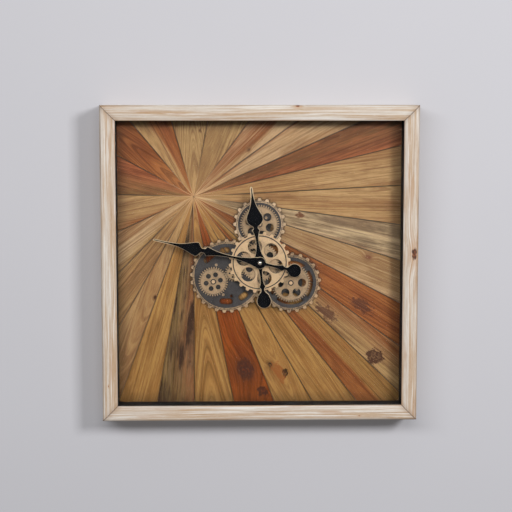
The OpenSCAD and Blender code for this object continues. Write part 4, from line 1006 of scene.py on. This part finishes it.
class GEARCLOCK_OT_base_plates(bpy.types.Operator):
    """Finishes the carrier, the toothed base plates and their screws"""
    bl_idname = "gearclock.base_plates"
    bl_label = "Base plates"

    def execute(self, context):
        settings = context.scene.gear_clock.metal
        bronze, grime = (*settings.bronze, 1.0), (*settings.grime, 1.0)
        gunmetal = (*settings.gunmetal, 1.0)
        rubbed = fade(bronze, 0.2, grime[:3])
        ease = settings.eased_edge

        def plate(node, bright, brush):
            """Dark face inside, and a rubbed ridge, rim and teeth outside."""
            rim_from, root = PLATE_RADII[node]
            front = front_of("right_base_ring")

            def build(s):
                radius = s.radius_about(middle_of(node))
                wobble = s.noise(s.scaled(s.place(), 0.35), detail=3.0)
                rim = s.step(radius + (wobble - 0.5) * 0.8, rim_from - 0.5, rim_from)
                teeth = s.step(radius, root - 1.2, root + 0.3)
                ridge = s.band(radius, rim_from - 0.2, rim_from + 0.8, 0.3)
                lit = s.facing()
                high = s.step(s.height(), front - 1.4, front - 0.5, 0.55, 1.0)
                worn = s.larger(s.larger(teeth, ridge), s.step(wobble, 0.4, 0.62, 0.7, 0.25))
                made = rubbed_patina(s, lit * high * worn, bright, fade(bright, 0.5, grime[:3]),
                                     grime, brush, edges=0.95)
                inner = rubbed_patina(s, lit * 0.5 + 0.2, fade(gunmetal, 0.02, (1, 1, 1)), gunmetal,
                                      fade(gunmetal, 0.75), 0.5, recess=5.0)
                made["Base Color"] = s.mix(rim, inner["Base Color"], made["Base Color"])
                made["Metallic"] = made["Metallic"] * rim
                made["Roughness"] = s.mix(rim, inner["Roughness"], made["Roughness"])
                return made
            material = new_material("patina_" + node, build, Specular_IOR_Level=0.3)
            soften(set_material(node, material), ease)

        plate("left_base_plate", rubbed, 0.7)
        plate("right_base_ring", rubbed, 0.7)
        plate("top_base_ring", fade(bronze, 0.05, (1, 1, 1)), 0.5)

        def carrier_build(s):
            return rubbed_patina(s, s.facing() * 0.3 + 0.2, fade(gunmetal, 0.2),
                                 fade(gunmetal, 0.45), fade(gunmetal, 0.75), 0.5, recess=6.0)
        dark = new_material("dark_carrier", carrier_build, Specular_IOR_Level=0.3)
        soften(set_material("gear_carrier", dark), ease)

        def screw_build(s):
            return rubbed_patina(s, s.facing() * 0.55 + 0.2, bronze, fade(bronze, 0.5, grime[:3]),
                                 grime, 0.4)
        soften(set_material("base_screws", new_material("aged_screws", screw_build)), ease / 2)
        return {"FINISHED"}


# Hands

# Where the rings of points inside a hand's outline lie, in widths of its bevel
RING_PLACES = (0.5, 1.0, 1.7, 2.5)
# The longest stretch of the outline, and the least space between points of a ridge, in millimetres
FINEST, RIDGE_SPACING = 1.0, 0.35


def front_outlines(node):
    """The closed outlines of a flat node's front face, largest first, in millimetres."""
    mesh = NODES[node].data
    front = min(vert.co.y for vert in mesh.vertices)
    spots = {vert.index: (round(vert.co.x / MM, 4), round(vert.co.z / MM, 4))
             for vert in mesh.vertices if vert.co.y < front + 0.02 * MM}
    edges = set()
    for face in mesh.polygons:
        if not all(i in spots for i in face.vertices):
            continue
        ring = [spots[i] for i in face.vertices]
        for a, b in zip(ring, ring[1:] + ring[:1]):
            if (b, a) in edges:
                edges.remove((b, a))
            else:
                edges.add((a, b))
    follow = dict(edges)
    loops = []
    while follow:
        start, spot = follow.popitem()
        loop = [start]
        while spot != start:
            loop.append(spot)
            spot = follow.pop(spot)
        loops.append(np.array(loop))
    return sorted(loops, key=lambda loop: -np.ptp(loop[:, 0]) - np.ptp(loop[:, 1]))


def finer(loop, longest):
    """A closed outline with no stretch longer than this."""
    made = []
    for a, b in zip(loop, np.roll(loop, -1, axis=0)):
        count = max(1, int(math.ceil(np.hypot(*(b - a)) / longest)))
        made += [a + (b - a) * i / count for i in range(count)]
    return np.array(made)


def distance_to(points, loops):
    """Distance of each point from the nearest of these outlines."""
    best = np.full(len(points), 1e9)
    for loop in loops:
        a, b = loop, np.roll(loop, -1, axis=0)
        side = b - a
        share = np.einsum("pij,ij->pi", points[:, None, :] - a[None], side)
        share = np.clip(share / np.maximum((side ** 2).sum(1), 1e-12), 0, 1)
        near = a[None] + share[..., None] * side[None]
        best = np.minimum(best, np.sqrt(((points[:, None, :] - near) ** 2).sum(2)).min(1))
    return best


def inside(points, loop):
    """True for each point inside a closed outline."""
    a, b = loop, np.roll(loop, -1, axis=0)
    x, y = points[:, 0][:, None], points[:, 1][:, None]
    spans = (a[None, :, 1] > y) != (b[None, :, 1] > y)
    rise = np.where(np.abs(b[:, 1] - a[:, 1]) < 1e-12, 1e-12, b[:, 1] - a[:, 1])
    cross = a[:, 0] + (y - a[:, 1]) * (b[:, 0] - a[:, 0]) / rise
    return (spans & (x < cross)).sum(1) % 2 == 1


def inner_points(outline, rim_width):
    """Points inside a hand's outline: rings along its bevel, and the ridge of its narrow tips."""
    step = np.roll(outline, -1, axis=0) - np.roll(outline, 1, axis=0)
    normal = np.stack([-step[:, 1], step[:, 0]], 1) / np.hypot(step[:, 0], step[:, 1])[:, None]
    if not inside(outline[:1] + normal[:1] * 0.05, outline)[0]:
        normal = -normal
    points = []
    for share in RING_PLACES:
        spots = outline + normal * rim_width * share
        clear = distance_to(spots, [outline]) > rim_width * share * 0.985
        points.append(spots[clear & inside(spots, outline)])
    # Where the hand is narrower than its two bevels, they meet in a ridge
    ridge = []
    reaches = np.arange(0.1, rim_width * RING_PLACES[-1], 0.05)
    for spot, way in zip(outline, normal):
        path = spot + way * reaches[:, None]
        gone = np.nonzero(distance_to(path, [outline]) < reaches * 0.97)[0]
        if len(gone) and gone[0] > 1:
            crest = path[gone[0] - 1]
            if all(np.hypot(*(crest - other)) > RIDGE_SPACING for other in ridge):
                ridge.append(crest)
    return points + ([np.array(ridge)] if ridge else [])


def hand_faces(outline, hub, rim_width):
    """The points of a hand seen from the front, and the triangles between them."""
    points = [outline, *inner_points(outline, rim_width)]
    rings = [(0, len(outline))]
    if hub is not None:
        rings.append((sum(len(group) for group in points), len(hub)))
        points.append(hub)
    edges = [(start + i, start + (i + 1) % count) for start, count in rings for i in range(count)]
    spots = [Vector(point) for point in np.concatenate(points)]
    flat, _, faces, *_ = delaunay_2d_cdt(spots, edges, [], 0, 1e-5)
    flat = np.array([tuple(point) for point in flat])
    centres = np.array([flat[list(face)].mean(0) for face in faces])
    keep = inside(centres, outline)
    if hub is not None:
        keep &= ~inside(centres, hub)
    return flat, [list(face) for face, good in zip(faces, keep) if good]


def bevelled_hand(name, node, body, rim_width, drop, material):
    """A flat hand with a bevelled rim that keeps the outline of its CAD node."""
    low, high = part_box(node)
    loops = front_outlines(node)
    outline = finer(loops[0], FINEST)
    flat, faces = hand_faces(outline, loops[1] if len(loops) > 1 else None, rim_width)
    made = bmesh.new()
    rim = made.verts.layers.float.new("rim")
    top, back = [], []
    for (x, z), reach in zip(flat, distance_to(flat, [outline])):
        fall = drop * MM * (1 - min(reach / rim_width, 1.0))
        top.append(made.verts.new((x * MM, low.y + fall, z * MM)))
        top[-1][rim] = reach
        back.append(made.verts.new((x * MM, high.y, z * MM)))
    sides = {}
    for face in faces:
        made.faces.new([top[i] for i in face])
        made.faces.new([back[i] for i in reversed(face)])
        for a, b in zip(face, face[1:] + face[:1]):
            if (b, a) in sides:
                del sides[(b, a)]
            else:
                sides[(a, b)] = True
    for a, b in sides:
        made.faces.new([top[b], top[a], back[a], back[b]])
    loose = [vert for vert in made.verts if not vert.link_faces]
    bmesh.ops.delete(made, geom=loose, context="VERTS")
    bmesh.ops.recalc_face_normals(made, faces=made.faces)
    mesh = bpy.data.meshes.new(name)
    made.to_mesh(mesh)
    made.free()
    mesh.shade_smooth()
    mesh.set_sharp_from_angle(angle=math.radians(22))
    mesh.materials.append(material)
    new_piece(name, mesh, body, "black_lacquer", node)


class GEARCLOCK_OT_hands(bpy.types.Operator):
    """Makes the two hands with pale bevelled rims, and polishes their nut"""
    bl_idname = "gearclock.hands"
    bl_label = "Hands"

    def execute(self, context):
        settings = context.scene.gear_clock.hands
        lacquer, pale = (*settings.lacquer, 1.0), (*settings.rim, 1.0)

        def hand_build(rim_width, pale_from, pale_to, widen):
            def build(s):
                spot = s.place()
                reach = s.radius_about(middle_of("hand_nut"))
                rim = s.attribute("rim", "Fac") - s.step(reach, pale_from, pale_to, 0.0, widen)
                grit = s.noise(s.scaled(spot, 0.5), detail=4.0, roughness=0.65)
                fine = s.noise(s.scaled(spot, 1.2), detail=1.0)
                edge = s.step(rim + (grit - 0.5) * 0.5, rim_width * 1.1, rim_width * 0.8)
                rubbed = s.layer(pale, grit, 0.5, 0.68, 0.55, fade(pale, 0.6))
                black = s.layer(lacquer, grit, 0.45, 0.75, 0.35, paint(13, 14, 18))
                return {"Base Color": s.mix(edge, black, rubbed),
                        "Roughness": edge * 0.15 + s.step(grit, 0.3, 0.7, 0.34, 0.42),
                        "Metallic": edge * 0.35, "Normal": s.bump(fine, 0.04, 0.02)}
            return build

        # Each hand: its bevel's width and fall, and how its pale rim widens towards the tip
        for body, rim_width, drop, tip in (
                ("hour", settings.hour_rim_width / MM, 0.8, (118.0, 136.0, 1.0)),
                ("minute", settings.minute_rim_width / MM, 0.7, (165.0, 185.0, 0.5))):
            material = new_material(body + "_lacquer", hand_build(rim_width, *tip),
                                    Specular_IOR_Level=0.05)
            bevelled_hand(body + "_hand_bevelled", body + "_hand", body, rim_width, drop, material)

        def cap_build(s):
            spot = s.place()
            scuff = s.noise(s.scaled(spot, 1.4), detail=3.0)
            tint = s.mix(s.step(scuff, 0.4, 0.7), paint(226, 220, 204), paint(188, 178, 156))
            return {"Base Color": tint, "Roughness": s.step(scuff, 0.3, 0.7, 0.16, 0.28)}
        cap = new_material("polished_cap", cap_build, Metallic=1.0)
        soften(set_material("hand_nut", cap), 0.15 * MM, angle=40)
        return {"FINISHED"}


# Glass and liner

class GEARCLOCK_OT_glazing(bpy.types.Operator):
    """Finishes the glass and the black liner behind it"""
    bl_idname = "gearclock.glazing"
    bl_label = "Glass and liner"

    def execute(self, context):
        def pane_build(s):
            ripple = s.noise(s.scaled(s.place(), 0.012), detail=1.0)
            return {"Normal": s.bump(ripple, 0.05, 0.3)}
        glass = new_material("clear_pane", pane_build, Base_Color=(1, 1, 1, 1), Roughness=0.02,
                             Metallic=0.0, Transmission_Weight=1.0, IOR=1.1)
        s = Shader(glass.node_tree)
        end_with(s, "Material Output", s.out("ShaderNodeLightPath", output="Is Shadow Ray"),
                 s.main("Principled BSDF"),
                 s.out("ShaderNodeBsdfTransparent", {0: (0.97, 0.975, 0.97, 1)}))
        set_material("glass_pane", glass)

        def card_build(s):
            fluff = s.noise(s.scaled(s.place(), 0.8), detail=4.0, roughness=0.7)
            broad = s.noise(s.scaled(s.place(), 0.02, 0.05, 0.05), detail=2.0)
            tone = s.mix(s.step(fluff, 0.4, 0.7), paint(20, 20, 21), paint(34, 33, 33))
            tone = s.layer(tone, broad, 0.55, 0.75, 0.4, paint(44, 40, 37))
            return {"Base Color": tone, "Roughness": s.step(fluff, 0.3, 0.7, 0.7, 0.85),
                    "Normal": s.bump(fluff, 0.3, 0.1)}
        card = new_material("black_card", card_build, Specular_IOR_Level=0.25)
        for node in ("liner_top", "liner_bottom", "liner_left", "liner_right"):
            soften(set_material(node, card), 0.3 * MM)
        return {"FINISHED"}


# Back of the clock

PLAIN_INPUTS = (
    ("Place", "vector"), ("Base", "colour", paint(128, 128, 128)),
    ("Shade", "colour", paint(90, 90, 90)), ("Coarse", "value", 0.2), ("Fine", "value", 2.0),
)


def build_mottle(s, given):
    """Fine speckle over slow blotches, for moulded, pressed and plated parts."""
    def spots(size, detail):
        scaled = s.out("ShaderNodeVectorMath", {0: given["Place"], "Scale": size},
                       operation="SCALE")
        return s.noise(scaled, detail=detail, roughness=0.6)
    coarse, fine = spots(given["Coarse"], 3.0), spots(given["Fine"], 3.0)
    tone = s.layer(given["Base"], coarse, 0.35, 0.7, 0.7, given["Shade"])
    tone = s.layer(tone, fine, 0.5, 0.75, 0.5, given["Shade"])
    return {"Color": tone, "Fine Grain": fine, "Blotch": coarse}


# Each plain finish: base, shade, low and high roughness, metallic, blotches and specks per
# millimetre, and relief
FINISHES = {
    "fibreboard": (paint(150, 112, 76), paint(112, 80, 52), 0.7, 0.85, 0.0, 0.03, 1.1, 0.2),
    "zinc_steel": (paint(196, 198, 200), paint(148, 152, 154), 0.28, 0.46, 1.0, 0.12, 1.4, 0.05),
    "black_plastic": (paint(34, 34, 36), paint(24, 24, 26), 0.42, 0.56, 0.0, 0.1, 3.0, 0.08),
    "ivory_plastic": (paint(232, 224, 200), paint(214, 204, 178), 0.38, 0.5, 0.0, 0.2, 2.0, 0.04),
    "rubber": (paint(30, 30, 31), paint(44, 43, 42), 0.7, 0.85, 0.0, 0.3, 2.0, 0.1),
    "felt": (paint(52, 50, 48), paint(76, 73, 70), 0.85, 0.95, 0.0, 0.5, 2.6, 0.35),
    "cell_sleeve": (paint(70, 98, 104), paint(54, 78, 84), 0.3, 0.4, 0.0, 0.08, 1.0, 0.03),
    "copper": (paint(204, 120, 78), paint(164, 88, 54), 0.28, 0.42, 1.0, 0.4, 6.0, 0.1),
    "board_green": (paint(32, 96, 62), paint(24, 76, 48), 0.35, 0.45, 0.0, 0.3, 1.5, 0.04),
    "motion_brass": (paint(214, 178, 108), paint(180, 144, 82), 0.26, 0.4, 1.0, 0.2, 2.0, 0.04),
}


def finish_material(name):
    """One of the plain finishes as a material, made once."""
    made = bpy.data.materials.get("finish_" + name)
    if made:
        return made
    base, shade, low, high, metallic, coarse, fine, relief = FINISHES[name]

    def build(s):
        tree = shader_group("mottle", PLAIN_INPUTS,
                            (("Color", "colour"), ("Fine Grain", "value"), ("Blotch", "value")),
                            build_mottle)
        spot = s.place()
        if name == "cell_sleeve":
            x = s.parts(spot)[0]
            spot = s.point(x * 0.15, *s.parts(spot)[1:])
        given = s.group(tree, {"Place": spot, "Base": base, "Shade": shade, "Coarse": coarse,
                               "Fine": fine})
        return {"Base Color": given["Color"],
                "Roughness": s.step(given["Blotch"], 0.3, 0.7, low, high),
                "Normal": s.bump(given["Fine Grain"], 0.3, relief)}
    return new_material("finish_" + name, build, Metallic=metallic)


def finish_nodes(finishes, width=0.25 * MM):
    """Gives each of these CAD nodes its finish and eased edges."""
    for finish, nodes in finishes.items():
        for node in nodes:
            soften(set_material(node, finish_material(finish)), width)


class GEARCLOCK_OT_back(bpy.types.Operator):
    """Finishes the backing board, the braces and the hanging hardware"""
    bl_idname = "gearclock.back"
    bl_label = "Back board and hardware"

    def execute(self, context):
        finish_nodes({
            "fibreboard": ["backing_board"],
            "zinc_steel": ["backing_points", "hanger_plate", "hanger_screws", "corner_braces",
                           "brace_screws"],
            "felt": ["wall_bumpers"],
        }, 0.2 * MM)
        return {"FINISHED"}


class GEARCLOCK_OT_movement(bpy.types.Operator):
    """Finishes the clock movement and its shafts"""
    bl_idname = "gearclock.movement"
    bl_label = "Clock movement"

    def execute(self, context):
        finish_nodes({
            "black_plastic": ["movement_case", "movement_cover"],
            "motion_brass": ["threaded_bushing", "minute_arbor"],
            "rubber": ["rubber_washer"],
            "ivory_plastic": ["hour_wheel", "minute_wheel", "setting_knob"],
            "cell_sleeve": ["movement_cell"],
            "zinc_steel": ["movement_contacts"],
            "copper": ["movement_coil"],
            "board_green": ["circuit_board"],
        })
        return {"FINISHED"}


class GEARCLOCK_OT_drive(bpy.types.Operator):
    """Finishes the drive that turns the gears"""
    bl_idname = "gearclock.drive"
    bl_label = "Gear drive"

    def execute(self, context):
        finish_nodes({
            "black_plastic": ["drive_case", "drive_cover"],
            "zinc_steel": ["drive_motor", "drive_contacts", "drive_screws"],
            "motion_brass": ["motor_pinion"],
            "ivory_plastic": ["drive_wheel"],
            "cell_sleeve": ["drive_cell"],
        })
        return {"FINISHED"}


# Stage

# Each lamp's place and its size across and upright, in metres
LAMPS = {"key": ((2.0, -2.9, 0.92), (0.8, 0.8)), "fill": ((-0.8, -2.9, 0.97), (3.4, 0.7)),
         "back": ((-0.6, 2.6, 1.2), (2.2, 2.2))}
# The point that the camera looks at, in millimetres
CAMERA_AIM = (-6.75, -35.0, -275.45)
# The wall and the floor, in metres: half width, face of the wall, its top, the floor's height, the
# radius of the curve between them, and how far the floor reaches
BACKDROP = (3.5, 0.0006, 2.6, -1.7, 0.7, 4.0)
CURVE_STEPS = 12


def soft_lamp(name, place_at, aim, size, power):
    """A soft rectangular lamp that looks at a point."""
    light = bpy.data.lights.new(name, "AREA")
    light.shape = "RECTANGLE"
    light.size, light.size_y = size
    light.energy = power
    lamp = bpy.data.objects.new(name, light)
    bpy.context.scene.collection.objects.link(lamp)
    lamp.location = place_at
    lamp.rotation_mode = "QUATERNION"
    lamp.rotation_quaternion = (Vector(aim) - Vector(place_at)).to_track_quat("-Z", "Y")


class GEARCLOCK_OT_stage(bpy.types.Operator):
    """Sets up the wall, the floor, the lamps and the camera"""
    bl_idname = "gearclock.stage"
    bl_label = "Stage"

    def execute(self, context):
        settings = context.scene.gear_clock.stage
        scene = context.scene
        scene.view_settings.view_transform = "Standard"
        self.backdrop(settings)
        self.room(scene, settings)
        middle = Vector((0, -RAIL_FRONT / 2, FRAME_MIDDLE_Z)) * MM
        for name, (where, size) in LAMPS.items():
            soft_lamp(name + "_lamp", where, middle, size, getattr(settings, name + "_power"))

        aim = Vector(CAMERA_AIM) * MM
        turn, lift = settings.turn, settings.lift
        back = Vector((math.sin(turn) * math.cos(lift), -math.cos(turn) * math.cos(lift),
                       math.sin(lift)))
        camera = bpy.data.objects.new("photo_camera", bpy.data.cameras.new("photo_camera"))
        scene.collection.objects.link(camera)
        camera.data.sensor_width = 36
        camera.data.lens = settings.lens
        camera.location = aim + back * settings.distance
        camera.rotation_mode = "QUATERNION"
        camera.rotation_quaternion = (-back).to_track_quat("-Z", "Y")
        camera.data.clip_start, camera.data.clip_end = 0.05, 50
        scene.camera = camera
        return {"FINISHED"}

    def backdrop(self, settings):
        """A wall that runs down into a floor in a wide curve, clear when seen from behind."""
        half, wall_y, wall_top, floor_z, curve, reach = BACKDROP
        profile = [(wall_y, wall_top)]
        for i in range(CURVE_STEPS + 1):
            turn = math.radians(90 * i / CURVE_STEPS)
            profile.append((wall_y - curve + curve * math.cos(turn),
                            floor_z + curve - curve * math.sin(turn)))
        profile.append((wall_y - reach, floor_z))
        made = bmesh.new()
        rows = [[made.verts.new((x, y, z)) for x in (-half, half)] for y, z in profile]
        for a, b in zip(rows, rows[1:]):
            made.faces.new([a[0], b[0], b[1], a[1]])
        mesh = bpy.data.meshes.new("backdrop")
        made.to_mesh(mesh)
        made.free()
        mesh.shade_smooth()
        wall = bpy.data.objects.new("backdrop", mesh)
        bpy.context.scene.collection.objects.link(wall)
        for seen_by in ("shadow", "diffuse", "glossy", "transmission"):
            setattr(wall, "visible_" + seen_by, False)

        def build(s):
            grain = s.noise(s.scaled(s.place(), 0.004), detail=2.0)
            tone = (*settings.wall, 1.0)
            return {"Base Color": s.layer(tone, grain, 0.3, 0.7, 0.06, fade(tone, 0.1))}
        material = new_material("plain_wall", build, Roughness=0.95, Specular_IOR_Level=0.1)
        s = Shader(material.node_tree)
        end_with(s, "Material Output", s.out("ShaderNodeNewGeometry", output="Backfacing"),
                 s.main("Principled BSDF"), s.out("ShaderNodeBsdfTransparent"))
        mesh.materials.append(material)

    def room(self, scene, settings):
        """Even light from all round; the camera sees it as a pale background."""
        world = bpy.data.worlds.new("pale_room")
        world.use_nodes = True
        scene.world = world
        s = Shader(world.node_tree)
        for socket, value in zip(s.tree.nodes["Background"].inputs, ((1, 1, 1, 1), settings.sky)):
            s.feed(socket, value)
        end_with(s, "World Output", s.out("ShaderNodeLightPath", output="Is Camera Ray"),
                 s.main("Background"),
                 s.out("ShaderNodeBackground", {0: paint(214, 214, 217), 1: 1.0}))


PIECE_OPERATORS = (
    GEARCLOCK_OT_frame, GEARCLOCK_OT_sunburst, GEARCLOCK_OT_glazing, GEARCLOCK_OT_base_plates,
    GEARCLOCK_OT_gears, GEARCLOCK_OT_hands, GEARCLOCK_OT_back, GEARCLOCK_OT_movement,
    GEARCLOCK_OT_drive, GEARCLOCK_OT_stage,
)


class GEARCLOCK_PT_panel(bpy.types.Panel):
    """Lists the pieces of the clock and their settings"""
    bl_idname = "GEARCLOCK_PT_panel"
    bl_label = "Gear Clock"
    bl_space_type = "VIEW_3D"
    bl_region_type = "UI"
    bl_category = "Gear Clock"

    def draw(self, context):
        settings = context.scene.gear_clock
        for group in ("frame", "sunburst", "metal", "hands", "stage"):
            box = self.layout.box()
            box.label(text=group.capitalize())
            for name in getattr(settings, group).__annotations__:
                box.prop(getattr(settings, group), name)
        for operator in PIECE_OPERATORS:
            self.layout.operator(operator.bl_idname)


CLASSES = (
    SunburstSettings, FrameSettings, MetalSettings, HandSettings, StageSettings,
    GearClockSettings, *PIECE_OPERATORS, GEARCLOCK_PT_panel,
)


def register():
    for cls in CLASSES:
        bpy.utils.register_class(cls)
    bpy.types.Scene.gear_clock = bpy.props.PointerProperty(type=GearClockSettings)


def unregister():
    del bpy.types.Scene.gear_clock
    for cls in reversed(CLASSES):
        bpy.utils.unregister_class(cls)


def main():
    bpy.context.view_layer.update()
    register()
    for operator in PIECE_OPERATORS:
        area, name = operator.bl_idname.split(".")
        getattr(getattr(bpy.ops, area), name)()


if __name__ == "__main__":
    main()
